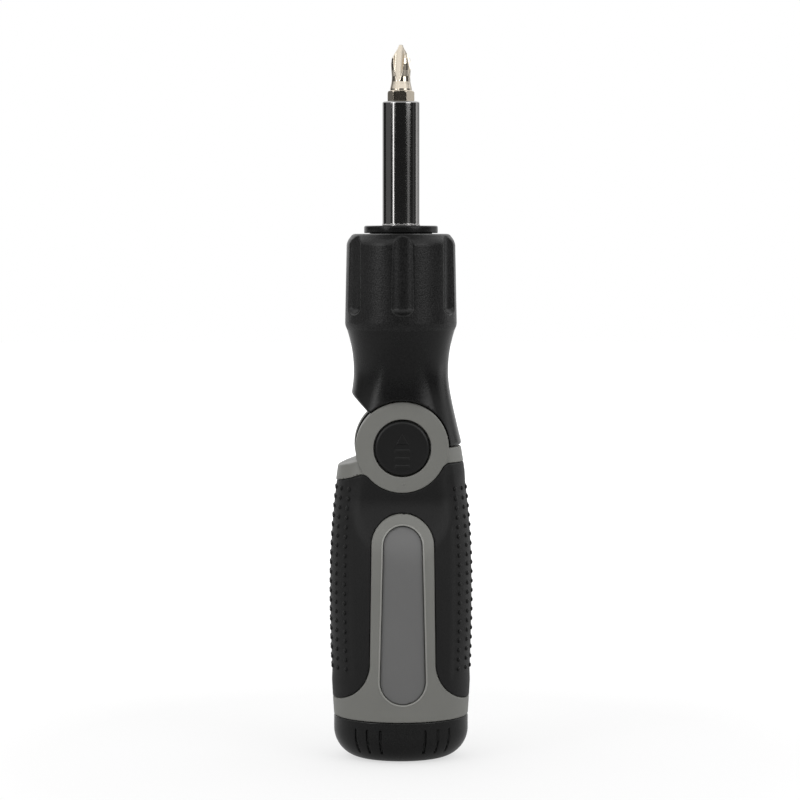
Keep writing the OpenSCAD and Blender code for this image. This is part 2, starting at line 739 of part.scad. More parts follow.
module bit_magnet() color("gray") translate([0, 0, bit_low_z - magnet_l])
    cylinder(r = magnet_r, h = magnet_l - press_gap, $fn = 48);

module hex_bar(af, h) cylinder(r = af / 2 / cos(30), h = h, $fn = 6);

// Insert bits, drawn standing on the XY plane
module bit_blank(tip_shares) {
    half = hex_af / 2;
    corner = half / cos(30);
    rim = bit_l * hex_rim_share;
    shank = bit_l * shank_share;
    intersection() {
        hex_bar(hex_af, shank + rim);
        rotate_extrude($fn = 64)
            polygon([[0, 0], [half, 0], [corner, rim], [corner, shank - rim],
                [half, shank + rim], [0, shank + rim]]);
    }
    rotate_extrude($fn = 64) polygon(concat(
        [[0, bit_l * core_share], [half * tip_shares[0][1], bit_l * core_share]],
        [for (s = tip_shares) [s[1] * half, s[0] * bit_l]], [[0, bit_l]]));
}

module cross_bit(web) difference() {
    bit_blank(turned_shares);
    flute_r = hex_af * cross_flute_share;
    for (a = [45:90:315]) rotate(a + cross_turn_a) translate([flute_r + web, 0, bit_l])
        rotate([0, 180 - cross_taper_a, 0]) translate([0, 0, -over])
        cylinder(r = flute_r, h = bit_l / 2, $fn = 32);
}

module slot_bit(blade_t) difference() {
    bit_blank(round_tip_shares);
    for (turn = [0, 180]) rotate([90, 0, 90 + turn]) linear_extrude(far, center = true)
        polygon([[blade_t / 2, bit_l + over], [blade_t / 2, bit_l * blade_shares[1]],
            [hex_af / 2, bit_l * blade_shares[0]], [far, bit_l * blade_shares[0]], [far, bit_l + over]]);
}

module hex_bit(af) {
    intersection() {
        bit_blank(round_tip_shares);
        union() {
            cylinder(r = hex_af, h = bit_l * blade_shares[0], $fn = 64);
            hex_bar(af, bit_l);
        }
    }
}

module star_bit(r) difference() {
    bit_blank(round_tip_shares);
    for (a = [0:60:300]) rotate(a)
        translate([r + hex_af * star_flute_shares[0], 0, bit_l * star_low_share])
        cylinder(r = hex_af * star_flute_shares[1], h = bit_l, $fn = 24);
}

module bit() color("silver") translate([0, 0, bit_low_z]) cross_bit(hex_af * web_share);

// Spare bits stand in the rack inside the end cap, with their flats side by side
module spare_place(i) rotate(spare_pitch_a * i) translate([spare_ring_r, 0, cap_floor + rack_floor])
    rotate(spare_pitch_a / 2) children();

module spare_cross_small() color("silver") spare_place(0) cross_bit(hex_af * spare_shares[0]);
module spare_cross_large() color("silver") spare_place(1) cross_bit(hex_af * spare_shares[1]);
module spare_slot_small() color("silver") spare_place(2) slot_bit(hex_af * spare_shares[2]);
module spare_slot_large() color("silver") spare_place(3) slot_bit(hex_af * spare_shares[3]);
module spare_hex() color("silver") spare_place(4) hex_bit(hex_af * spare_shares[4]);
module spare_star() color("silver") spare_place(5) star_bit(hex_af * spare_shares[5]);

module bit_rack() color("dimgray") difference() {
    translate([0, 0, cap_floor + press_gap]) cylinder(r = rack_r, h = rack_h, $fn = 96);
    for (i = [0:5]) spare_place(i) translate([0, 0, -press_gap]) hex_bar(hex_af + seat_gap, rack_h);
    translate([0, 0, cap_floor + rack_floor]) cylinder(r = spare_ring_r / 3, h = rack_h, $fn = 48);
}

// A closed skin through oval rings, each given as half width, half depth and height
module oval_loft(rings) {
    sides = 56;
    last = (len(rings) - 1) * sides;
    points = [for (ring = rings, k = [0:sides - 1]) let (a = 360 * k / sides)
        [ring[0] * cos(a), ring[1] * sin(a), ring[2]]];
    walls = [for (i = [0:len(rings) - 2], k = [0:sides - 1]) let (n = (k + 1) % sides)
        each [[i * sides + k, (i + 1) * sides + k, (i + 1) * sides + n],
            [i * sides + k, (i + 1) * sides + n, i * sides + n]]];
    ends = [for (k = [1:sides - 2]) each [[0, k, k + 1], [last, last + k + 1, last + k]]];
    polyhedron(points, concat(walls, ends), convexity = 4);
}

// End cap: rounded oval foot, a spigot that fits the handle, and short slots for the fingers
module cap_foot() difference() {
    half_w = seam_w / 2;
    half_d = depth_share * seam_w / 2;
    oval_loft(concat([for (i = [0:steps]) let (a = 90 * i / steps, in = cap_round * (1 - sin(a)))
            [half_w - in, half_d - in, cap_round * (1 - cos(a))]],
        [[half_w, half_d, seam_z]]));
    for (turn = [0, 180], side = [-1, 1], a = slot_angles) rotate(turn)
        translate([side * seam_w / 2 * sin(a), -depth_share * seam_w / 2 * cos(a), seam_z * slot_low_share])
        rotate(side * atan2(depth_share * sin(a), cos(a)))
        translate([-slot_w / 2, -cap_round, 0])
        cube([slot_w, cap_round + slot_depth, seam_z * (slot_high_share - slot_low_share)]);
}

module end_cap() color("black") difference() {
    union() {
        cap_foot();
        translate([0, 0, seam_z - over]) cylinder(r = spigot_r, h = spigot_h + over, $fn = 96);
    }
    translate([0, 0, cap_floor]) cylinder(r = spigot_r - spigot_t, h = far, $fn = 96);
}

bit();
bit_holder();
bit_magnet();
ratchet_gear();
thrust_washer();
shaft_bush();
pawl();
pawl_pin();
pawl_plunger();
plunger_spring();
selector_collar();
collar_retainer();
detent_spring();
neck_housing();
lock_button();
lock_gear();
button_spring();
handle_front();
handle_back();
grip_front();
grip_back();
label_plate();
handle_screws();
end_cap();
bit_rack();
spare_cross_small();
spare_cross_large();
spare_slot_small();
spare_slot_large();
spare_hex();
spare_star();
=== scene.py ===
"""Looks of the ratcheting screwdriver. Lengths are in millimetres until they reach a mesh.

A curved piece is a function of x, y and z, about the distance to its surface and negative inside it.
skin() makes a mesh of such a function. The front of the tool looks to -Y, and it stands on z = 0.
"""
import math
import bpy
import numpy as np
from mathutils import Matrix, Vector


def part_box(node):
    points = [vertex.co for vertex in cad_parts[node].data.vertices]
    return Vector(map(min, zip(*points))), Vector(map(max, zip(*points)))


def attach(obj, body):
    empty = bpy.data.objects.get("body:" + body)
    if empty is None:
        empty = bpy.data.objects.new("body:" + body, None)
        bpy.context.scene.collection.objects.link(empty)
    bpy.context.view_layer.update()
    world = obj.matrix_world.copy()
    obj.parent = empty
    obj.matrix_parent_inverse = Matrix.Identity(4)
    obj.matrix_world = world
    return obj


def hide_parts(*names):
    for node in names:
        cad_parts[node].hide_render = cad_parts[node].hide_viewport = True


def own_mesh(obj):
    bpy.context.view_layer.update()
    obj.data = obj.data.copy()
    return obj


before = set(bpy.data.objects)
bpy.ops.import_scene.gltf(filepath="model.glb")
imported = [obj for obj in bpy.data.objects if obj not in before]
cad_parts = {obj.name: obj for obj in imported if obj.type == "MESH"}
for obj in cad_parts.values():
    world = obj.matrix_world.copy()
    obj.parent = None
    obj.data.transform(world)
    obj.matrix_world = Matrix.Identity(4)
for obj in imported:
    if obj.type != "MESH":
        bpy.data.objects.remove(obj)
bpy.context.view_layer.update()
MM = 0.001
COARSE = 1.0

# Sizes shared with the CAD model
HUB = 84.8
SEAM = 11.6
DEPTH = 0.9
EAR_R, EAR_T, HUB_D = 12.5, 4.9, 23.0
EAR_IN = HUB_D / 2 - EAR_T
KNUCKLE_IN = EAR_IN - 0.2
NECK_TOP = 116.6
COLLAR_Z, COLLAR_TOP = 116.8, 142.2
STEM_TOP = 140.0
SHAFT_LOW, SHAFT_TOP = 120.5, 177.9
BIT_LOW, BIT_LENGTH = 168.2, 25.0
CUT_A = math.radians(43.4)
SHOULDER_A = math.radians(16.4)

# Keeps a root or a division away from zero
TINY = 1e-9


# Distance functions
def both(a, b, rounding=0.0):
    """Where a and b overlap, with the edge between them rounded."""
    if not rounding:
        return np.maximum(a, b)
    outside = np.sqrt(np.maximum(a + rounding, 0) ** 2 + np.maximum(b + rounding, 0) ** 2)
    return np.minimum(-rounding, np.maximum(a, b)) + outside


def either(a, b, rounding=0.0):
    """a and b together, with a fillet between them."""
    if not rounding:
        return np.minimum(a, b)
    inside = np.sqrt(np.maximum(rounding - a, 0) ** 2 + np.maximum(rounding - b, 0) ** 2)
    return np.maximum(rounding, np.minimum(a, b)) - inside


def cut(a, b, rounding=0.0):
    """a without b, with the edge between them rounded."""
    return both(a, -b, rounding)


def slab(v, low, high):
    return np.maximum(low - v, v - high)


def rod(u, v, radius):
    """An endless round rod, seen along its axis."""
    return np.hypot(u, v) - radius


def hub_rod(x, z, radius):
    """An endless round rod along the head's hinge."""
    return rod(x, z - HUB, radius)


def leaning(height, lean):
    """The distance to a line that leans, from the height over it."""
    return height / math.hypot(1, lean)


def ease(t):
    """A smooth step from 0 to 1."""
    return t * t * (3 - 2 * t)


def ease_slope(t):
    return 6 * t * (1 - t)


# Form of the handle
BELLY_Z, BELLY_HALF = 47, 19.488
LOW_TAPER, HIGH_TAPER = 1.25, 3.2
CHEEK_Z, CHEEK_RUN, CHEEK_REACH, CHEEK_ROUND = 51.8, 20, 8, 2.2


def half_width(z):
    below = z < BELLY_Z
    t = np.where(below, (BELLY_Z - z) / (BELLY_Z - SEAM), (z - BELLY_Z) / (HUB - BELLY_Z))
    return BELLY_HALF - np.where(below, LOW_TAPER, HIGH_TAPER) * t * t


def form(x, y, z, inset=0.0):
    """The oval handle, with flat cheeks that come in towards the ears."""
    q = np.sqrt(x * x + (y / DEPTH) ** 2) + TINY
    g = np.sqrt(x * x + (y / DEPTH ** 2) ** 2) / q + TINY
    oval = (q - half_width(z) + inset) / g
    t = np.clip((z - CHEEK_Z) / CHEEK_RUN, 0, 1)
    cheek = HUB_D / 2 + CHEEK_REACH * ease(1 - t)
    slope = CHEEK_REACH / CHEEK_RUN * ease_slope(t)
    return both(oval, (np.abs(y) - cheek + inset) / np.sqrt(1 + slope ** 2), CHEEK_ROUND)


def under_shoulders(x, z):
    """Below the flat right shoulder and the sloping left one."""
    lean = math.tan(SHOULDER_A)
    return np.maximum(z - HUB, leaning(z - HUB - x * lean, lean))


# Outlines on the front of the handle: the grey frame between the soft grips, and the label plate in it
FRAME_Z = 59
FRAME_HALF_LOW, FRAME_HALF_TOP = 8.8, 8.4
GRIP_BEND, GRIP_END_R = 27.5, 11.0
GRIP_LOW = GRIP_BEND - GRIP_END_R
GRIP_TOP_X = 11
GRIP_TOP_RIGHT, RIGHT_LEAN = 80.7, 0.02
GRIP_TOP_LEFT, LEFT_LEAN = 77.7, 0.33
GRIP_HUB_R = 12.0
PLATE_Z = 22.6
PLATE_HALF_LOW, PLATE_HALF_TOP = 6.1, 5.2


def grip_zone(x, z):
    """Where the soft grip lies, seen from the front."""
    a = np.abs(x)
    end_x = FRAME_HALF_LOW + GRIP_END_R
    end = rod(a - end_x, z - GRIP_BEND, GRIP_END_R)
    rise = (z - GRIP_BEND) / (FRAME_Z - GRIP_BEND)
    half = FRAME_HALF_LOW + (FRAME_HALF_TOP - FRAME_HALF_LOW) * rise
    above = np.where(z < FRAME_Z, half - a, -rod(a, z - FRAME_Z, FRAME_HALF_TOP))
    side = np.where(z < GRIP_BEND, end, above)
    side = np.where((z < GRIP_BEND) & (a > end_x), GRIP_LOW - z, side)
    side = np.where(z < GRIP_LOW, np.maximum(side, GRIP_LOW - z), side)
    right = z - GRIP_TOP_RIGHT + RIGHT_LEAN * (x - GRIP_TOP_X)
    left = leaning(z - GRIP_TOP_LEFT - LEFT_LEAN * (x + GRIP_TOP_X), LEFT_LEAN)
    top = both(np.where(x > 0, right, left), -hub_rod(x, z, GRIP_HUB_R), rounding=1.3)
    return both(side, top, rounding=0.4)


def label_zone(x, z):
    """Where the label plate lies, seen from the front."""
    a = np.abs(x)
    rise = (z - PLATE_Z) / (FRAME_Z - PLATE_Z)
    half = PLATE_HALF_LOW + (PLATE_HALF_TOP - PLATE_HALF_LOW) * rise
    upper = np.where(z > FRAME_Z, rod(a, z - FRAME_Z, PLATE_HALF_TOP), a - half)
    return np.where(z < PLATE_Z, rod(a, z - PLATE_Z, PLATE_HALF_LOW), upper)


# Meshes
PULL_STEP, NORMAL_STEP = 0.02, 0.04
SKIN_MARGIN = 1.4
SKIN_PULLS = 4
LEAST_GRADIENT = 0.2
SHARP_ANGLE = math.radians(34)


def put(name, mesh):
    obj = bpy.data.objects.new(name, mesh)
    bpy.context.scene.collection.objects.link(obj)
    return obj


def mesh_piece(name, verts, faces, smooth=True):
    mesh = bpy.data.meshes.new(name)
    mesh.from_pydata(verts, [], faces)
    mesh.update()
    if smooth:
        mesh.shade_smooth()
    return put(name, mesh)


def finish_piece(obj, mat, body, *nodes):
    """Gives a piece its material and its body, and hides the CAD nodes that it stands for."""
    obj.data.materials.append(mat)
    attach(obj, body)
    if nodes:
        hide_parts(*nodes)
    return obj


def gradient(f, p, step):
    slopes = []
    for axis in range(3):
        ahead, behind = p.copy(), p.copy()
        ahead[:, axis] += step
        behind[:, axis] -= step
        slopes.append(f(*ahead.T) - f(*behind.T))
    return np.stack(slopes, 1) / (2 * step)


def skin_points(d, cells, corners):
    """One point in each cell that the surface crosses: the mean of its crossings of the cell's edges."""
    total, count = np.zeros((len(cells[0]), 3)), np.zeros(len(cells[0]))
    for corner in corners:
        for axis in range(3):
            if corner[axis]:
                continue
            other = list(corner)
            other[axis] = 1
            here = d[tuple(c + o for c, o in zip(cells, corner))]
            there = d[tuple(c + o for c, o in zip(cells, other))]
            crossed = (here < 0) != (there < 0)
            t = here[crossed] / (here[crossed] - there[crossed])
            point = np.tile(np.array(corner, float), (len(t), 1))
            point[:, axis] += t
            total[crossed] += point
            count[crossed] += 1
    return np.stack(cells, 1) + total / count[:, None]


def skin_quads(inside, ids, counts):
    """A face of four cells' points around each grid edge that the surface crosses."""
    quads = []
    for axis in range(3):
        u, w = (axis + 1) % 3, (axis + 2) % 3
        first, second = [slice(None)] * 3, [slice(None)] * 3
        first[axis], second[axis] = slice(0, -1), slice(1, None)
        start, stop = inside[tuple(first)], inside[tuple(second)]
        edge = np.nonzero(start != stop)
        inner = (edge[u] > 0) & (edge[w] > 0) & (edge[u] < counts[u] - 1) & (edge[w] < counts[w] - 1)
        edge = [part[inner] for part in edge]
        corners = []
        for du, dw in ((-1, -1), (0, -1), (0, 0), (-1, 0)):
            cell = [part.copy() for part in edge]
            cell[u] += du
            cell[w] += dw
            corners.append(ids[tuple(cell)])
        quad = np.stack(corners, 1)
        flip = ~start[tuple(edge)]
        quad[flip] = quad[flip][:, ::-1]
        quads.append(quad)
    return np.concatenate(quads)


def skin(name, f, low, high, size):
    """A smooth mesh of the surface f = 0, which lies in the box from low to high.

    Each grid cell of this size that the surface crosses gets one point, which is then drawn onto it.
    """
    size = size * COARSE
    low = np.array(low, float) - SKIN_MARGIN * size
    high = np.array(high, float) + SKIN_MARGIN * size
    counts = np.ceil((high - low) / size).astype(int) + 1
    x, y, z = (low[i] + size * np.arange(counts[i]) for i in range(3))
    d = np.empty(tuple(counts), np.float32)
    d[...] = f(x[:, None, None], y[None, :, None], z[None, None, :])
    inside = d < 0
    held = np.zeros(tuple(counts - 1), np.int8)
    corners = [(i, j, k) for i in (0, 1) for j in (0, 1) for k in (0, 1)]
    for i, j, k in corners:
        held += inside[i:counts[0] - 1 + i, j:counts[1] - 1 + j, k:counts[2] - 1 + k]
    crossed = (held > 0) & (held < len(corners))
    ids = np.full(crossed.shape, -1, np.int64)
    ids[crossed] = np.arange(int(crossed.sum()))
    v = low + size * skin_points(d, np.nonzero(crossed), corners)
    quads = skin_quads(inside, ids, counts)
    for _ in range(SKIN_PULLS):
        g = gradient(f, v, PULL_STEP)
        step = np.clip(f(*v.T), -size, size) / np.maximum((g * g).sum(1), LEAST_GRADIENT)
        v -= g * step[:, None]
    g = gradient(f, v, NORMAL_STEP)
    normals = g / np.maximum(np.linalg.norm(g, axis=1), TINY)[:, None]
    mesh = bpy.data.meshes.new(name)
    mesh.vertices.add(len(v))
    mesh.vertices.foreach_set("co", (v * MM).astype(np.float32).ravel())
    mesh.loops.add(len(quads) * 4)
    mesh.loops.foreach_set("vertex_index", quads.astype(np.int32).ravel())
    mesh.polygons.add(len(quads))
    mesh.polygons.foreach_set("loop_start", np.arange(0, len(quads) * 4, 4, dtype=np.int32))
    mesh.update(calc_edges=True)
    mesh.polygons.foreach_set("use_smooth", np.ones(len(quads), bool))
    mesh.normals_split_custom_set_from_vertices(normals.tolist())
    return put(name, mesh)


def loop_faces(start, next_start, count):
    """Faces between two rings of points."""
    return [(start + k, start + (k + 1) % count, next_start + (k + 1) % count, next_start + k)
            for k in range(count)]


def lathe(name, profile):
    """A turned piece from its closed profile of radius and height."""
    verts, faces = [], []
    sides = 128
    for r, z in profile:
        for k in range(sides):
            a = 2 * math.pi * k / sides
            verts.append((r * math.cos(a) * MM, r * math.sin(a) * MM, z * MM))
    for i in range(len(profile)):
        faces += loop_faces(i * sides, (i + 1) % len(profile) * sides, sides)
    piece = mesh_piece(name, verts, faces)
    piece.data.set_sharp_from_angle(angle=SHARP_ANGLE)
    return piece


def arc(cx, cz, r, start, end, steps):
    """Points on an arc, with its angles in degrees."""
    angles = [math.radians(start + (end - start) * i / steps) for i in range(steps + 1)]
    return [(cx + r * math.cos(a), cz + r * math.sin(a)) for a in angles]


# Nodes of the materials and the world
def noise(nt, vector, scale, detail):
    node = nt.nodes.new("ShaderNodeTexNoise")
    node.inputs["Scale"].default_value = scale
    node.inputs["Detail"].default_value = detail
    nt.links.new(vector, node.inputs["Vector"])
    return node.outputs["Fac"]


def ranged(nt, source, start, end, low, high, smooth=False):
    """The source's range from start to end, mapped to low to high."""
    node = nt.nodes.new("ShaderNodeMapRange")
    if smooth:
        node.interpolation_type = "SMOOTHSTEP"
    for key, value in (("From Min", start), ("From Max", end), ("To Min", low), ("To Max", high)):
        node.inputs[key].default_value = value
    nt.links.new(source, node.inputs["Value"])
    return node.outputs[0]


def scaled(nt, factor):
    """A colour times a factor: the node's first input takes the colour."""
    node = nt.nodes.new("ShaderNodeVectorMath")
    node.operation = "SCALE"
    nt.links.new(factor, node.inputs["Scale"])
    return node


def math_node(nt, kind, a, b):
    node = nt.nodes.new("ShaderNodeMath")
    node.operation = kind
    nt.links.new(a, node.inputs[0])
    nt.links.new(b, node.inputs[1])
    return node.outputs[0]


def coordinate_parts(nt, output):
    """The X, Y and Z of a texture coordinate."""
    coord = nt.nodes.new("ShaderNodeTexCoord")
    parts = nt.nodes.new("ShaderNodeSeparateXYZ")
    nt.links.new(coord.outputs[output], parts.inputs[0])
    return parts.outputs


def seen_rays(nt):
    """Whether a ray comes from the camera, and whether it was mirrored or passed through glass."""
    path = nt.nodes.new("ShaderNodeLightPath").outputs
    mirrored = math_node(nt, "MAXIMUM", path["Is Glossy Ray"], path["Is Transmission Ray"])
    return path["Is Camera Ray"], mirrored


MOTTLE_SCALE = 60.0
MOTTLE_RANGE = (0.3, 0.7)
SPECKLE_RANGE = (0.35, 0.65)
SPECKLE_FINENESS = 1.3
LEAST_ROUGHNESS = 0.02
BUMP_HEIGHT = 0.0001


def material(name, color, rough, metal=0.0, grain=0.0, grain_scale=900.0, mottle=0.0, streak=None,
             spec=0.5, rough_var=0.06, speckle=0.0):
    """A plastic or metal: mottle varies its colour widely, speckle finely, and grain is its bump."""
    mat = bpy.data.materials.new(name)
    mat.use_nodes = True
    nt = mat.node_tree
    bsdf = nt.nodes["Principled BSDF"]
    bsdf.inputs["Metallic"].default_value = metal
    bsdf.inputs["Specular IOR Level"].default_value = spec
    coord = nt.nodes.new("ShaderNodeTexCoord")
    mapping = nt.nodes.new("ShaderNodeMapping")
    nt.links.new(coord.outputs["Object"], mapping.inputs["Vector"])
    if streak:
        mapping.inputs["Scale"].default_value = streak
    vector = mapping.outputs[0]
    wide = noise(nt, vector, MOTTLE_SCALE, 4)
    shade = scaled(nt, ranged(nt, wide, *MOTTLE_RANGE, 1 - mottle, 1 + mottle))
    shade.inputs[0].default_value = color
    if speckle:
        fine = noise(nt, vector, grain_scale * SPECKLE_FINENESS, 2)
        speckled = scaled(nt, ranged(nt, fine, *SPECKLE_RANGE, 1 - speckle, 1 + speckle))
        nt.links.new(shade.outputs[0], speckled.inputs[0])
        shade = speckled
    nt.links.new(shade.outputs[0], bsdf.inputs["Base Color"])
    least = max(rough - rough_var, LEAST_ROUGHNESS)
    nt.links.new(ranged(nt, wide, *MOTTLE_RANGE, least, rough + rough_var), bsdf.inputs["Roughness"])
    if grain:
        bump = nt.nodes.new("ShaderNodeBump")
        bump.inputs["Strength"].default_value = grain
        bump.inputs["Distance"].default_value = BUMP_HEIGHT
        nt.links.new(noise(nt, vector, grain_scale, 3), bump.inputs["Height"])
        nt.links.new(bump.outputs[0], bsdf.inputs["Normal"])
    return mat


def black(name, value, rough, **detail):
    return material(name, (value, value, value), rough, **detail)


# Plastics
BLACK = black("black_plastic", 0.006, 0.26, grain=0.22, grain_scale=2000, mottle=0.1, spec=0.25,
              speckle=0.35)
COLLAR_BLACK = black("collar_plastic", 0.008, 0.36, grain=0.55, grain_scale=1900, mottle=0.1, spec=0.27,
                     speckle=0.65)
BUTTON = black("button_plastic", 0.0075, 0.36, grain=0.2, grain_scale=3000, mottle=0.06, spec=0.28,
               speckle=0.2)
SOFT = black("soft_grip", 0.0068, 0.5, grain=0.35, grain_scale=3600, mottle=0.1, spec=0.24, speckle=0.3)
# The neck's black with no reflection, for the knuckle: painted shade in the gap between the ears
KNUCKLE_PAINTED_SHADE = black("knuckle_painted_shade", 0.006, 0.6, grain=0.2, grain_scale=2400, mottle=0.12, spec=0.0)
RACK = black("rack_plastic", 0.05, 0.5, grain=0.15, mottle=0.05)
GREY = material("grey_plastic", (0.182, 0.182, 0.168), 0.42, grain=0.15, grain_scale=2600, mottle=0.03)
# Lighter grey of the bead around the label: a painted highlight along the frame's inner edge
RIM_PAINTED_HIGHLIGHT = material("rim_painted_highlight", (0.28, 0.28, 0.262), 0.38, grain=0.15, grain_scale=2600, mottle=0.05)
LABEL = material("label_grey", (0.14, 0.14, 0.139), 0.45, grain=0.1, grain_scale=3200, mottle=0.02)


def metal(name, color, rough, **detail):
    return material(name, color, rough, metal=1.0, **detail)


# Metals
CHROME = metal("dark_chrome", (0.33, 0.325, 0.32), 0.1, grain=0.02, mottle=0.04, rough_var=0.03)
NICKEL = metal("nickel", (0.62, 0.555, 0.46), 0.15, grain=0.05, mottle=0.06, streak=(1, 1, 0.25))
STEEL = metal("steel", (0.55, 0.55, 0.55), 0.3, grain=0.1, mottle=0.08)
SCREW_STEEL = metal("blackened_steel", (0.16, 0.16, 0.165), 0.38, grain=0.1, mottle=0.1)
SPRING = metal("spring_steel", (0.5, 0.5, 0.52), 0.25, grain=0.05, mottle=0.05)
BRONZE = metal("bronze", (0.5, 0.36, 0.2), 0.4, grain=0.2, mottle=0.12)
MAGNET = metal("magnet", (0.45, 0.45, 0.46), 0.35, grain=0.1, mottle=0.06)

# CAD nodes that keep their own shape, by material
NODE_MATERIALS = (
    (STEEL, ("ratchet_gear", "thrust_washer", "pawl", "pawl_pin", "pawl_plunger", "lock_gear")),
    (SPRING, ("plunger_spring", "detent_spring")),
    (NICKEL, ("spare_cross_small", "spare_cross_large", "spare_slot_small", "spare_slot_large", "spare_hex",
              "spare_star")),
    (SCREW_STEEL, ("handle_screws",)),
    (MAGNET, ("bit_magnet",)),
    (BRONZE, ("shaft_bush",)),
    (RACK, ("bit_rack",)))

# Handle
GAP = 0.04
GRIP_T, WALL = 1.5, 3.8
SLOT_R = 12.45
BIT_ROOM = (20.7, 70.1)
MOUTH_R, MOUTH_TOP = 13.0, 20.8
SCREWS = ((13.4, HUB - 11), (15.1, SEAM + 4.8))
SCREW_WELL_R, SCREW_WELL_FLOOR = 2.1, 5.4
PLATE_GAP, PLATE_SINK, PLATE_FLOOR = 0.06, 0.75, 1.25
BUTTON_HOLE_R, BUTTON_FLOOR = 7.72, 8.8
GEAR_BORE_R = 5.9
FRONT_RECESS_R, FRONT_RECESS = 7.66, 7.7
BACK_RECESS_R, BACK_RECESS = 5.06, EAR_IN + 1.1
# The back halves reach this far into the front ones, so no light shows through the seam
LAP = 0.02


def hard_handle(x, y, z):
    """Both grey halves in one, with pockets for the grips and room for the knuckle and the spare bits."""
    body = both(form(x, y, z), under_shoulders(x, z), rounding=0.35)
    ear = both(hub_rod(x, z, EAR_R), np.abs(y) - HUB_D / 2, rounding=0.3)
    body = either(body, ear, rounding=0.12)
    body = both(body, SEAM + GAP - z, rounding=0.3)
    pocket = np.maximum(grip_zone(x, z) - GAP, -form(x, y, z, GRIP_T))
    body = cut(body, pocket, rounding=0.22)
    body = cut(body, np.maximum(hub_rod(x, z, SLOT_R), np.abs(y) - EAR_IN), rounding=0.2)
    body = cut(body, np.maximum(form(x, y, z, WALL), slab(z, *BIT_ROOM)))
    return cut(body, np.maximum(rod(x, y, MOUTH_R), z - MOUTH_TOP))


def screw_wells(x, y, z):
    upper, lower = (rod(np.abs(x) - sx, z - sz, SCREW_WELL_R) for sx, sz in SCREWS)
    return np.maximum(np.minimum(upper, lower), SCREW_WELL_FLOOR - y)


def front_half(x, y, z):
    body = both(hard_handle(x, y, z), y, rounding=0.22)
    pocket = np.maximum(label_zone(x, z) - PLATE_GAP, -form(x, y, z, PLATE_FLOOR))
    body = cut(body, np.maximum(pocket, y), rounding=0.45)
    body = cut(body, np.maximum(hub_rod(x, z, BUTTON_HOLE_R), y + BUTTON_FLOOR), rounding=0.22)
    body = cut(body, np.maximum(hub_rod(x, z, GEAR_BORE_R), y))
    return cut(body, np.maximum(hub_rod(x, z, FRONT_RECESS_R), slab(y, -FRONT_RECESS, 0)))


def back_half(x, y, z):
    body = both(hard_handle(x, y, z), -LAP - y, rounding=0.22)
    body = cut(body, screw_wells(x, y, z), rounding=0.15)
    return cut(body, np.maximum(hub_rod(x, z, BACK_RECESS_R), slab(y, 0, BACK_RECESS)))


# The grips are a little lower where the dots are: up to this angle from the side, between two heights
DOTS_SINK = 0.25
DOTS_TURN, DOTS_TURN_RUN = 0.86, 0.16
DOTS_LOW, DOTS_HIGH, DOTS_RUN = 20.5, 78.5, 4


def grip(x, y, z):
    """The soft grips of both halves in one."""
    turn = np.arctan2(np.abs(y) / DEPTH, np.abs(x))
    sink = DOTS_SINK * ease(np.clip((DOTS_TURN - turn) / DOTS_TURN_RUN, 0, 1))
    sink = sink * ease(np.clip((z - DOTS_LOW) / DOTS_RUN, 0, 1))
    sink = sink * ease(np.clip((DOTS_HIGH - z) / DOTS_RUN, 0, 1))
    solid = both(form(x, y, z, sink), grip_zone(x, z) + GAP, rounding=0.3)
    return cut(solid, form(x, y, z, GRIP_T))


def grip_front(x, y, z):
    return both(grip(x, y, z), y, rounding=0.2)


def grip_back(x, y, z):
    return cut(both(grip(x, y, z), -LAP - y, rounding=0.2), screw_wells(x, y, z), rounding=0.3)


HANDLE_X = 19.6
FRONT_Y, BACK_Y = (-17.7, 0), (0, 17.7)
SHELL_SPAN, GRIP_SPAN = (SEAM, HUB + EAR_R + 0.1), (15.6, 81.2)
# Name, form, box along Y and Z, cell size, material and CAD node of each half
HALVES = (
    ("front_shell", front_half, FRONT_Y, SHELL_SPAN, 0.4, GREY, "handle_front"),
    ("back_shell", back_half, BACK_Y, SHELL_SPAN, 0.45, GREY, "handle_back"),
    ("front_grip", grip_front, FRONT_Y, GRIP_SPAN, 0.4, SOFT, "grip_front"),
    ("back_grip", grip_back, BACK_Y, GRIP_SPAN, 0.45, SOFT, "grip_back"))
for name, half, (front, back), (foot, top), size, mat, node in HALVES:
    piece = skin(name, half, (-HANDLE_X, front, foot), (HANDLE_X, back, top), size)
    finish_piece(piece, mat, "handle", node)

# Rows of raised dots on the sides of the grips
DOT_R, DOT_H, DOT_FOOT = 0.62, 0.42, 0.12
DOT_ROWS, DOT_Z, DOT_PITCH = 20, 25.1, 2.556
DOT_TURNS = (8.0, 22.5, 36.0)
# How fast a dot's side steepens towards its foot
DOT_CURVE = 0.8


def add_domes(name, spots, r, h, mat):
    """Small raised dots on the handle: each spot is a place and the direction that it faces."""
    verts, faces = [], []
    rings, sides = 4, 12
    for place, facing in spots:
        place, facing = np.array(place), np.array(facing, float)
        facing /= np.linalg.norm(facing)
        u = np.cross(facing, (0, 0, 1))
        u /= np.linalg.norm(u)
        w = np.cross(facing, u)
        base = len(verts)
        for i in range(rings):
            a = math.pi / 2 * i / rings
            out = r * math.cos(a) ** DOT_CURVE
            up = h * math.sin(a) if i else -DOT_FOOT
            for k in range(sides):
                b = 2 * math.pi * k / sides
                verts.append(tuple((place + facing * up + (u * math.cos(b) + w * math.sin(b)) * out) * MM))
        verts.append(tuple((place + facing * h) * MM))
        faces.append(tuple(base + sides - 1 - k for k in range(sides)))
        last, top = base + (rings - 1) * sides, base + rings * sides
        faces += [(last + k, last + (k + 1) % sides, top) for k in range(sides)]
        for i in range(rings - 1):
            faces += loop_faces(base + i * sides, base + (i + 1) * sides, sides)
    return finish_piece(mesh_piece(name, verts, faces), mat, "handle")


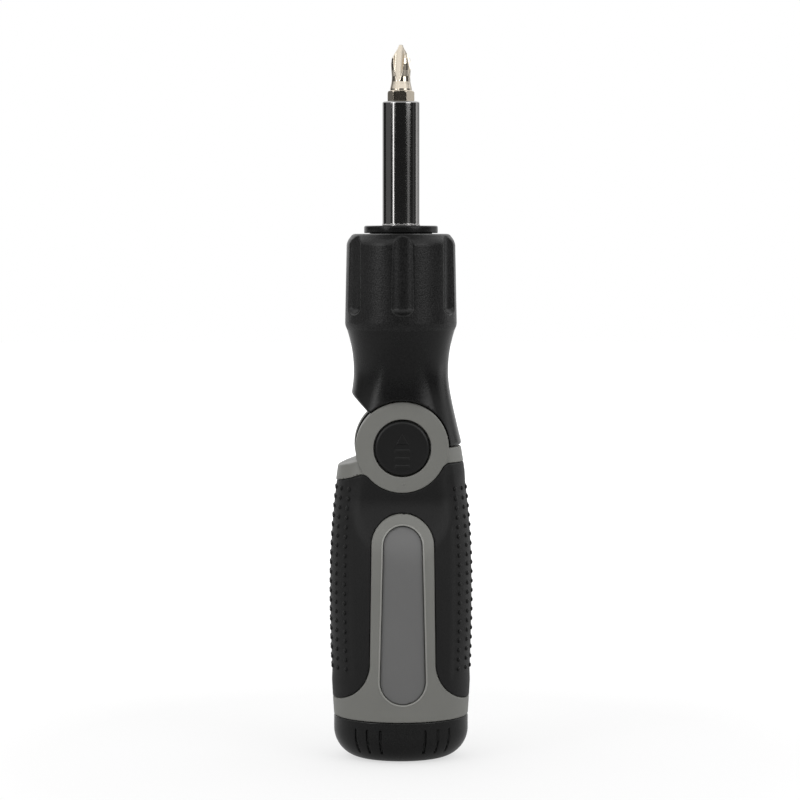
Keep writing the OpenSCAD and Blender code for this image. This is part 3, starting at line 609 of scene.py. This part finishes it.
def side_dots(turn):
    """Places and directions of the dots on the front grip for turn = 1, and on the back grip for -1."""
    spots = []
    for row in range(DOT_ROWS):
        z = DOT_Z + row * DOT_PITCH
        w = float(half_width(z)) - DOTS_SINK
        for angle in map(math.radians, DOT_TURNS):
            x, y = w * math.cos(angle), -turn * DEPTH * w * math.sin(angle)
            spots += [((side * x, y, z), (side * x, y / DEPTH ** 2, 0)) for side in (1, -1)]
    return spots


add_domes("front_dots", side_dots(1), DOT_R, DOT_H, SOFT)
add_domes("back_dots", side_dots(-1), DOT_R, DOT_H, SOFT)

# Moulding marks: a gate mark under the button, and a speck of the soft grip on the top of the frame
TO_FRONT = (0, -1, 0)
GATE_SPOT, GATE_R, GATE_H = (0.5, -HUB_D / 2, 75.2), 0.42, 0.1
SPECK_SPOT, SPECK_R, SPECK_H = (0.4, -12.45, 67.25), 0.4, 0.12
add_domes("gate_mark", [(GATE_SPOT, TO_FRONT)], GATE_R, GATE_H, GREY)
add_domes("frame_speck", [(SPECK_SPOT, TO_FRONT)], SPECK_R, SPECK_H, SOFT)

# Label plate, bare and let into the frame, and a thin bead on the frame's inner edge, coloured a lighter
# grey as a painted highlight along that edge
RIM_R, RIM_OUT, RIM_SINK = 0.24, 0.31, 0.1


def plate(x, y, z):
    body = both(form(x, y, z, PLATE_SINK), label_zone(x, z) + GAP / 2, rounding=0.12)
    return np.maximum(cut(body, form(x, y, z, PLATE_FLOOR)), y)


def rim(x, y, z):
    return np.maximum(rod(label_zone(x, z) - RIM_OUT, form(x, y, z) + RIM_SINK, RIM_R), y)


piece = skin("front_plate", plate, (-6.3, -17.4, 16.3), (6.3, -12, 64.4), 0.3)
finish_piece(piece, LABEL, "handle", "label_plate")
piece = skin("frame_rim", rim, (-6.8, -17.18, 15.9), (6.8, -12, 64.9), 0.13)
finish_piece(piece, RIM_PAINTED_HIGHLIGHT, "handle", "handle_front")

# Neck
WAIST_Z, WAIST_R = 105.1, 12.8
TOP_FLARE = 1.9
FOOT_FLARE, FLARE_BEND = 0.26, 6.6
CHEEK_TOP = HUB + EAR_R
NECK_CHEEK, NECK_CHEEK_GROWS = 13.4, 3.4
NECK_FOOT = HUB + 0.4
NECK_RIM = NECK_TOP + 0.4
EAR_ROOM_R = 12.75
KNUCKLE_R = 12.3
NECK_GEAR_R, NECK_GEAR_START, NECK_GEAR_END = 6.0, -9, 4.1
FRONT_TRUNNION_R, BACK_TRUNNION_R, TRUNNION_END = 7.6, 5.0, 7.3
STEM_R = 10.8
# Round bores down the neck: radius, lowest and highest end
NECK_BORES = ((4.6, 105.6, 121), (7.4, 119.6, 128), (8.02, 127.8, 150))
PAWL_ROOM, PAWL_ROOM_R = (120.4, 127.9), 6.0
LEAF_ROOM, LEAF_HALF, LEAF_R = (129.7, 133.9), 4.9, 9.78


def neck_outside(x, y, z):
    """The waisted body between its foot and its rim, flatter in front and behind, cut for the swing."""
    r = np.hypot(x, y)
    up = np.clip(z - WAIST_Z, 0, None) / (NECK_TOP - WAIST_Z)
    down = np.clip(WAIST_Z - z, 0, None)
    bend = np.sqrt(down * down + FLARE_BEND ** 2)
    radius = WAIST_R + TOP_FLARE * up ** 2 + FOOT_FLARE * (bend - FLARE_BEND)
    slope = 2 * TOP_FLARE / (NECK_TOP - WAIST_Z) * up - FOOT_FLARE * down / bend
    d = (r - radius) / np.sqrt(1 + slope ** 2)
    t = np.clip((z - CHEEK_TOP) / (NECK_TOP - CHEEK_TOP), 0, 1)
    cheek = NECK_CHEEK + NECK_CHEEK_GROWS * ease(t)
    slope = NECK_CHEEK_GROWS * ease_slope(t) / (NECK_TOP - CHEEK_TOP)
    d = both(d, (np.abs(y) - cheek) / np.sqrt(1 + slope ** 2), rounding=3.0)
    d = both(d, NECK_FOOT - z, rounding=0.9)
    d = both(d, -(x * math.cos(CUT_A) + (z - HUB) * math.sin(CUT_A)), rounding=0.6)
    return both(d, z - NECK_RIM, rounding=0.05)


def neck(x, y, z):
    """The neck with room for the ears, its trunnions and its stem, and the rooms of the works in it."""
    r = np.hypot(x, y)
    ear_room = np.maximum(hub_rod(x, z, EAR_ROOM_R), KNUCKLE_IN - np.abs(y))
    d = cut(neck_outside(x, y, z), ear_room, rounding=0.35)
    front = np.maximum(hub_rod(x, z, FRONT_TRUNNION_R), slab(y, -TRUNNION_END, 0))
    back = np.maximum(hub_rod(x, z, BACK_TRUNNION_R), slab(y, 0, TRUNNION_END))
    d = np.minimum(d, np.minimum(front, back))
    d = np.minimum(d, np.maximum(r - STEM_R, slab(z, NECK_TOP - 1, STEM_TOP)))
    d = cut(d, np.maximum(hub_rod(x, z, NECK_GEAR_R), slab(y, NECK_GEAR_START, NECK_GEAR_END)))
    for bore, low, high in NECK_BORES:
        d = cut(d, np.maximum(r - bore, slab(z, low, high)))
    pawl_room = np.maximum(np.abs(y) - x, slab(z, *PAWL_ROOM))
    d = cut(d, np.maximum(pawl_room, PAWL_ROOM_R - r))
    leaf_room = np.maximum(slab(z, *LEAF_ROOM), np.maximum(np.abs(y) - LEAF_HALF, x))
    return cut(d, np.maximum(leaf_room, LEAF_R - r))


def knuckle(x, y, z):
    """The round between the ears, in an unreflecting copy of the neck's black: painted shade in the gap
    between the ears.
    """
    d = both(hub_rod(x, z, KNUCKLE_R), np.abs(y) - KNUCKLE_IN, rounding=0.15)
    return cut(d, np.maximum(hub_rod(x, z, NECK_GEAR_R), y - NECK_GEAR_END))


piece = skin("neck_body", neck, (-16, -14.8, 72.6), (16, 14.8, STEM_TOP + 0.1), 0.4)
finish_piece(piece, BLACK, "neck", "neck_housing")
piece = skin("neck_knuckle", knuckle, (-12.5, -6.5, HUB - 12.5), (12.5, 6.5, HUB + 12.5), 0.4)
finish_piece(piece, KNUCKLE_PAINTED_SHADE, "neck", "neck_housing")

# Ring above the collar, which screws into the stem
RING_BORE_R, RING_FOOT_R, RING_R = 5.35, 8.5, 10.0
THREAD_R, THREAD_LOW = 8.0, 136.0
RING_UNDER, RING_TOP = 142.42, 144.4
RING_BEVEL, RING_ROUND, RING_MOUTH = 0.25, 0.5, 0.35
profile = [(RING_BORE_R, THREAD_LOW), (THREAD_R, THREAD_LOW), (THREAD_R, STEM_TOP), (RING_FOOT_R, STEM_TOP),
           (RING_FOOT_R, RING_UNDER)]
profile += arc(RING_R - RING_BEVEL, RING_UNDER + RING_BEVEL, RING_BEVEL, -90, 0, 4)
profile += arc(RING_R - RING_ROUND, RING_TOP - RING_ROUND, RING_ROUND, 0, 90, 6)
profile += [(RING_BORE_R + RING_MOUTH, RING_TOP), (RING_BORE_R, RING_TOP - RING_BEVEL)]
finish_piece(lathe("ring_flange", profile), BLACK, "neck", "collar_retainer")

# Selector collar
COLLAR_WALL_Z, COLLAR_WALL_TOP = 117.9, 140.0
COLLAR_R_LOW, COLLAR_R_TOP = 15.15, 14.7
SKIRT_R, SKIRT_LEAN = 14.74, 0.45
SKIRT_Z = COLLAR_Z - 0.75
SHOULDER_Z, SHOULDER_R, SHOULDER_LEAN = 140.15, 14.6, 1.35
FLUTES, FLUTE_OUT, FLUTE_R = 6, 18.038, 4.488
FLUTE_Z, FLUTE_STEEPNESS = 122.4, 1.7
COLLAR_BORE_R, COLLAR_BORE_TOP, COLLAR_TOP_R = 10.86, 140.2, 8.7
PLUNGER_R, PLUNGER_Z, PLUNGER_END = 1.06, 124.1, 13.8


def sector(angle, first, count):
    """An angle folded into the sector around the nearest of several even directions."""
    step = 2 * math.pi / count
    return (angle - first + step / 2) % step - step / 2


def collar(x, y, z):
    r = np.hypot(x, y)
    lean = (COLLAR_R_TOP - COLLAR_R_LOW) / (COLLAR_WALL_TOP - COLLAR_WALL_Z)
    wall = leaning(r - COLLAR_R_LOW - (z - COLLAR_WALL_Z) * lean, lean)
    skirt = leaning(r - SKIRT_R - (z - NECK_TOP) * SKIRT_LEAN, SKIRT_LEAN)
    shoulder = leaning(z - SHOULDER_Z + (r - SHOULDER_R) * SHOULDER_LEAN, SHOULDER_LEAN)
    d = both(wall, skirt, rounding=0.3)
    d = both(d, SKIRT_Z - z, rounding=0.05)
    d = both(d, shoulder, rounding=0.6)
    d = both(d, z - COLLAR_TOP, rounding=0.5)
    b = sector(np.arctan2(y, x), -math.pi / 2, FLUTES)
    u, v = r * np.cos(b), r * np.sin(b)
    end = FLUTE_STEEPNESS * np.minimum(z - FLUTE_Z, 0)
    flute = np.sqrt((u - FLUTE_OUT) ** 2 + v * v + end * end) - FLUTE_R
    d = cut(d, flute, rounding=0.22)
    d = cut(d, np.maximum(r - COLLAR_BORE_R, z - COLLAR_BORE_TOP))
    d = cut(d, r - COLLAR_TOP_R)
    return cut(d, np.maximum(rod(y, z - PLUNGER_Z, PLUNGER_R), slab(x, 0, PLUNGER_END)))


piece = skin("fluted_collar", collar, (-15.3, -15.3, COLLAR_Z - 0.8), (15.3, 15.3, COLLAR_TOP), 0.35)
finish_piece(piece, COLLAR_BLACK, "selector", "selector_collar")

# Shaft, and the bit in its hex socket
SHAFT_R, JOURNAL_R, JOURNAL_TOP = 5.05, 5.25, 144.7
SOCKET_FLATS, BIT_FLATS, BIT_CORNER_R = 6.45, 6.35, 3.66
MAGNET_R, MAGNET_ROOM = 3.02, (164.2, 169.0)
HEX_TURN = math.radians(-8)


def hexagon(x, y, flats):
    """An endless hexagon rod, from its width across flats."""
    r = np.hypot(x, y)
    turn = sector(np.arctan2(y, x), HEX_TURN + math.pi / 6, 6)
    return r * np.cos(turn) - flats / 2


def holder(x, y, z):
    r = np.hypot(x, y)
    d = both(r - SHAFT_R, slab(z, SHAFT_LOW, SHAFT_TOP), rounding=0.5)
    d = np.minimum(d, both(r - JOURNAL_R, slab(z, SHAFT_LOW, JOURNAL_TOP), rounding=0.15))
    d = cut(d, np.maximum(hexagon(x, y, SOCKET_FLATS), BIT_LOW - z), rounding=0.25)
    return cut(d, np.maximum(r - MAGNET_R, slab(z, *MAGNET_ROOM)))


# Half width of the cross tip at steps down from its point
TIP_DOWN = np.array([0, 1, 2, 3, 3.7, 5.2, 6.9, 8.6, 9.9, 10.8, 11.9, 19])
TIP_R = np.array([0.6, 1.05, 1.68, 2.3, 2.62, 2.78, 2.68, 2.5, 2.56, 2.74, 2.98, 2.98])
# The point is steeper than the rest: about how much nearer its surface is than the radius says
POINT_LENGTH, POINT_NEARER, REST_NEARER = 3.7, 0.84, 0.98
HEX_TOP, HEX_LEAN = 12.6, 0.6
CHAMFER_HEIGHT, CHAMFER_DEPTH = 0.5, 0.3
TIP_FOOT = 6.25
CROSS_R, CROSS_CORE, CROSS_LEAN, CROSS_TURN = 1.6, 0.42, math.radians(12), math.radians(27)
CROSS_LOW = 12.5


def bit(x, y, z):
    r = np.hypot(x, y)
    up = z - BIT_LOW
    down = BIT_LENGTH - up
    shank = both(hexagon(x, y, BIT_FLATS), np.maximum(-up, up - HEX_TOP), rounding=0.1)
    upper = leaning(r - BIT_CORNER_R + (up - HEX_TOP + CHAMFER_HEIGHT) * HEX_LEAN, HEX_LEAN)
    lower = leaning(r - BIT_CORNER_R - up * HEX_LEAN + CHAMFER_DEPTH, HEX_LEAN)
    shank = both(both(shank, upper, rounding=0.05), lower, rounding=0.05)
    nearer = np.where(down < POINT_LENGTH, POINT_NEARER, REST_NEARER)
    round_tip = (r - np.interp(down, TIP_DOWN, TIP_R)) * nearer
    tip = both(round_tip, np.maximum(-down, TIP_FOOT - up), rounding=0.12)
    d = either(shank, tip, rounding=0.15)
    q = sector(np.arctan2(y, x), CROSS_TURN + math.pi / 4, 4)
    u, v = r * np.cos(q), r * np.sin(q)
    out = (u - CROSS_R - CROSS_CORE) * math.cos(CROSS_LEAN) - down * math.sin(CROSS_LEAN)
    return cut(d, np.maximum(rod(out, v, CROSS_R), CROSS_LOW - up), rounding=0.08)


piece = skin("shaft", holder, (-5.3, -5.3, SHAFT_LOW), (5.3, 5.3, SHAFT_TOP), 0.24)
finish_piece(piece, CHROME, "shaft", "bit_holder")
piece = skin("cross_bit", bit, (-3.7, -3.7, BIT_LOW), (3.7, 3.7, BIT_LOW + BIT_LENGTH), 0.14)
finish_piece(piece, NICKEL, "bit", "bit")

# Button, with a raised triangle over three bars
BUTTON_R, BUTTON_FACE, BUTTON_T = 7.4, -11.8, 1.1
BUTTON_BEVEL = 0.5
BUTTON_STEM = ((5.2, -11.0, -8.7), (3.4, -9.0, -4.7))
SYMBOL_LIFT, SYMBOL_WALL, SYMBOL_BEVEL, SYMBOL_FOOT = 0.2, 0.06, 0.24, 0.03
TRIANGLE = [(-1.7, 1.0), (1.7, 1.0), (0.0, 4.0)]
BAR_HALF_X, BAR_HALF_Z = 2.1, 0.5
BAR_HEIGHTS = (-0.75, -2.85, -4.9)


def button(x, y, z):
    head = both(hub_rod(x, z, BUTTON_R), slab(y, BUTTON_FACE, BUTTON_FACE + BUTTON_T), rounding=0.12)
    bevel = leaning(hub_rod(x, z, BUTTON_R) - (y - BUTTON_FACE) + BUTTON_BEVEL, 1)
    d = both(head, bevel, rounding=0.25)
    for radius, low, high in BUTTON_STEM:
        d = np.minimum(d, np.maximum(hub_rod(x, z, radius), slab(y, low, high)))
    return d


def raised(name, outlines, y, mat, body):
    """Low raised shapes on a face that looks to -Y, with sloping edges. Outlines are around the hinge."""
    verts, faces = [], []
    for outline in outlines:
        n = len(outline)
        cx, cz = np.mean(outline, axis=0)
        half_x, half_z = np.max(np.abs(np.array(outline) - (cx, cz)), axis=0)
        base = len(verts)
        for inset, depth in ((0.0, SYMBOL_FOOT), (0.0, -SYMBOL_WALL), (SYMBOL_BEVEL, -SYMBOL_LIFT)):
            for px, pz in outline:
                verts.append(((cx + (px - cx) * (1 - inset / half_x)) * MM, (y + depth) * MM,
                              (HUB + cz + (pz - cz) * (1 - inset / half_z)) * MM))
        for ring in (base, base + n):
            faces += loop_faces(ring, ring + n, n)
        faces.append(tuple(base + 2 * n + k for k in range(n)))
        faces.append(tuple(base + n - 1 - k for k in range(n)))
    return finish_piece(mesh_piece(name, verts, faces, smooth=False), mat, body)


def bar(height):
    return [(side_x * BAR_HALF_X, height + side_z * BAR_HALF_Z)
            for side_x, side_z in ((-1, -1), (1, -1), (1, 1), (-1, 1))]


piece = skin("push_button", button, (-7.5, -11.9, HUB - 7.5), (7.5, -4.6, HUB + 7.5), 0.22)
finish_piece(piece, BUTTON, "button", "lock_button")
raised("button_symbol", [TRIANGLE] + [bar(height) for height in BAR_HEIGHTS], BUTTON_FACE, BUTTON, "button")

# Return spring of the button, wound in the box of the CAD node, in metres
SPRING_WIRE, SPRING_TURNS = 0.7 * MM, 5


def coil(name, low, high, wire, turns):
    """A coil spring along Y that fills a box, as one unbroken tube with flat ends."""
    round_steps, sides = 24, 10
    steps = round_steps * turns
    radius = (high[0] - low[0]) / 2 - wire / 2
    start, length = low[1] + wire / 2, high[1] - low[1] - wire
    verts, faces = [], []
    for i in range(steps + 1):
        a = 2 * math.pi * i / round_steps
        for k in range(sides):
            b = 2 * math.pi * k / sides
            out = radius + wire / 2 * math.cos(b)
            along = start + length * i / steps + wire / 2 * math.sin(b)
            verts.append((out * math.cos(a), along, HUB * MM + out * math.sin(a)))
    for i in range(steps):
        faces += loop_faces(i * sides, (i + 1) * sides, sides)
    faces.append(tuple(sides - 1 - k for k in range(sides)))
    faces.append(tuple(steps * sides + k for k in range(sides)))
    return mesh_piece(name, verts, faces)


low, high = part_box("button_spring")
piece = coil("return_spring", low, high, SPRING_WIRE, SPRING_TURNS)
finish_piece(piece, SPRING, "neck", "button_spring")
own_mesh(piece)

# End cap
CAP_HALF, CAP_ROUND = 18.25, 8.0
CAP_SLOTS, CAP_SLOT_HALF, CAP_SLOT_DEPTH = (19.5, 31.6, 43.5), 0.28, 0.5
CAP_SLOT_SPAN = (2.9, 9.4)
SPIGOT_R, SPIGOT_BORE_R = 12.9, 11.7
SPIGOT_SPAN, SPIGOT_FLOOR = (10.6, 20.6), 3.2


def cap(x, y, z):
    a2, b2 = CAP_HALF, CAP_HALF * DEPTH
    q = np.sqrt((x / a2) ** 2 + (y / b2) ** 2) + TINY
    g = np.sqrt(x * x / a2 ** 4 + y * y / b2 ** 4) / q + TINY
    d = both((q - 1) / g, -z, CAP_ROUND)
    body = both(d, z - SEAM + GAP, rounding=0.3)
    near = np.maximum(-CAP_SLOT_DEPTH - body, slab(z, *CAP_SLOT_SPAN))
    d = body
    for angle in map(math.radians, CAP_SLOTS):
        s, c = math.sin(angle), math.cos(angle)
        lean = math.atan2(DEPTH * s, c)
        along = (np.abs(x) - a2 * s) * math.cos(lean) - (np.abs(y) - b2 * c) * math.sin(lean)
        d = cut(d, both(np.abs(along) - CAP_SLOT_HALF, near, rounding=0.2), rounding=0.25)
    d = np.minimum(d, both(rod(x, y, SPIGOT_R), slab(z, *SPIGOT_SPAN), rounding=0.3))
    return cut(d, np.maximum(rod(x, y, SPIGOT_BORE_R), SPIGOT_FLOOR - z), rounding=0.25)


piece = skin("foot_cap", cap, (-18.3, -16.5, 0), (18.3, 16.5, SPIGOT_SPAN[1]), 0.36)
finish_piece(piece, BLACK, "cap", "end_cap")

# Materials of the CAD nodes that stay
for mat, names in NODE_MATERIALS:
    for name in names:
        obj = bpy.data.objects[name]
        if not obj.data.materials:
            obj.data.materials.append(mat)
        for slot in obj.material_slots:
            slot.material = mat

# Camera, from the curves and widths in the photo, which is 800 pixels wide
FOCAL_PIXELS, PHOTO_PIXELS, SENSOR = 2703, 800, 36
CAMERA_PLACE = (-22.9, -732.7, 140)
CAMERA_DOWN, CAMERA_TURN, CAMERA_SHIFT = 2.5, -1.77, -0.05
cam_data = bpy.data.cameras.new("camera")
cam_data.sensor_width = SENSOR
cam_data.lens = FOCAL_PIXELS / PHOTO_PIXELS * SENSOR
cam_data.shift_y = CAMERA_SHIFT
cam_data.clip_start = 0.01
cam = bpy.data.objects.new("camera", cam_data)
bpy.context.scene.collection.objects.link(cam)
cam.location = [v * MM for v in CAMERA_PLACE]
cam.rotation_euler = (math.radians(90 - CAMERA_DOWN), 0, math.radians(CAMERA_TURN))
bpy.context.scene.camera = cam

scene = bpy.context.scene
scene.view_settings.view_transform = "Standard"

# Soft lights: name, azimuth from the front in degrees, positive to the right, elevation in degrees,
# width and height in metres, and radiance
LIGHTS = (
    ("left_strip", -49, 13, 0.15, 0.5, 3.0),
    ("left_soft", -88, 3, 0.8, 0.9, 0.17),
    ("left_box", -52, 16, 0.6, 0.3, 2.3),
    ("right_box", 45, 16, 0.6, 0.3, 3.2),
    ("right_strip", 46, 10, 0.28, 0.8, 0.24),
    ("right_soft", 84, 3, 0.3, 0.9, 0.07),
    ("right_rim", 115, 3, 0.45, 0.9, 0.8))
LIGHT_DISTANCE = 1.1
LIGHT_TARGET = Vector((0, 0, 0.1))


def soft_light(name, azimuth, elevation, width, height, radiance):
    """A rectangular light that faces the tool."""
    data = bpy.data.lights.new(name, "AREA")
    data.shape = "RECTANGLE"
    data.size, data.size_y = width, height
    data.energy = radiance * math.pi * width * height
    obj = bpy.data.objects.new(name, data)
    scene.collection.objects.link(obj)
    az, el = math.radians(azimuth), math.radians(elevation)
    out = Vector((math.cos(el) * math.sin(az), -math.cos(el) * math.cos(az), math.sin(el)))
    obj.location = out * LIGHT_DISTANCE + LIGHT_TARGET
    obj.rotation_euler = out.to_track_quat("Z", "Y").to_euler()


for row in LIGHTS:
    soft_light(*row)

# World: light from high around the tool and from behind it, and white where the camera sees it.
# A ramp holds the start and end of a part of the direction, and the strengths there.
WHITE = (1, 1, 1, 1)
ABOVE, NOT_OVERHEAD = (0.18, 0.5, 0.0, 1.35), (0.78, 0.95, 1.0, 0.1)
FROM_BEHIND, WHITE_BEHIND = (0.62, 0.95, 0.03, 0.9), (0.7, 0.95, 0.0, 1.0)
world = bpy.data.worlds.new("studio")
scene.world = world
world.use_nodes = True
nt = world.node_tree
background = nt.nodes["Background"]
background.inputs["Color"].default_value = WHITE
towards = coordinate_parts(nt, "Generated")
camera_ray, mirrored_ray = seen_rays(nt)
above = ranged(nt, towards["Z"], *ABOVE, smooth=True)
not_overhead = ranged(nt, towards["Z"], *NOT_OVERHEAD, smooth=True)
from_behind = ranged(nt, towards["Y"], *FROM_BEHIND, smooth=True)
white_behind = ranged(nt, towards["Y"], *WHITE_BEHIND, smooth=True)
light = math_node(nt, "ADD", math_node(nt, "MULTIPLY", above, not_overhead), from_behind)
white = math_node(nt, "MAXIMUM", camera_ray, math_node(nt, "MULTIPLY", mirrored_ray, white_behind))
mix = nt.nodes.new("ShaderNodeMix")
mix.data_type = "FLOAT"
mix.inputs["B"].default_value = 1.0
nt.links.new(white, mix.inputs["Factor"])
nt.links.new(light, mix.inputs["A"])
nt.links.new(mix.outputs["Result"], background.inputs["Strength"])

# Floor: it glows for the camera, less near the tool, where the shadow lies, and faintly in metal
FLOOR_HALF = 3
FLOOR_ALBEDO, FLOOR_SEEN_ALBEDO, FLOOR_ROUGHNESS = 0.52, 0.35, 0.6
FLOOR_FAR, FLOOR_NOT_IN_FRONT = (0.1, 0.5, 0.62, 1.0), (-0.32, -0.12, 0.0, 0.3)
corners = [(-FLOOR_HALF, -FLOOR_HALF, 0), (FLOOR_HALF, -FLOOR_HALF, 0), (FLOOR_HALF, FLOOR_HALF, 0),
           (-FLOOR_HALF, FLOOR_HALF, 0)]
floor = mesh_piece("floor", corners, [(0, 1, 2, 3)], smooth=False)
floor_white = bpy.data.materials.new("floor_white")
floor_white.use_nodes = True
nt = floor_white.node_tree
bsdf = nt.nodes["Principled BSDF"]
bsdf.inputs["Roughness"].default_value = FLOOR_ROUGHNESS
bsdf.inputs["Specular IOR Level"].default_value = 0.0
bsdf.inputs["Emission Color"].default_value = WHITE
camera_ray, mirrored_ray = seen_rays(nt)
albedo = nt.nodes.new("ShaderNodeMix")
albedo.data_type = "RGBA"
albedo.inputs["A"].default_value = (FLOOR_ALBEDO, FLOOR_ALBEDO, FLOOR_ALBEDO, 1)
albedo.inputs["B"].default_value = (FLOOR_SEEN_ALBEDO, FLOOR_SEEN_ALBEDO, FLOOR_SEEN_ALBEDO, 1)
nt.links.new(math_node(nt, "MAXIMUM", camera_ray, mirrored_ray), albedo.inputs["Factor"])
nt.links.new(albedo.outputs["Result"], bsdf.inputs["Base Color"])
coord = nt.nodes.new("ShaderNodeTexCoord")
away = nt.nodes.new("ShaderNodeVectorMath")
away.operation = "LENGTH"
nt.links.new(coord.outputs["Object"], away.inputs[0])
far = ranged(nt, away.outputs["Value"], *FLOOR_FAR)
not_in_front = ranged(nt, coordinate_parts(nt, "Object")["Y"], *FLOOR_NOT_IN_FRONT, smooth=True)
seen = math_node(nt, "MAXIMUM", camera_ray, math_node(nt, "MULTIPLY", mirrored_ray, not_in_front))
nt.links.new(math_node(nt, "MULTIPLY", seen, far), bsdf.inputs["Emission Strength"])
floor.data.materials.append(floor_white)
# The tool stands on its cap, so the floor goes down with the cap when it is pulled
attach(floor, "cap")
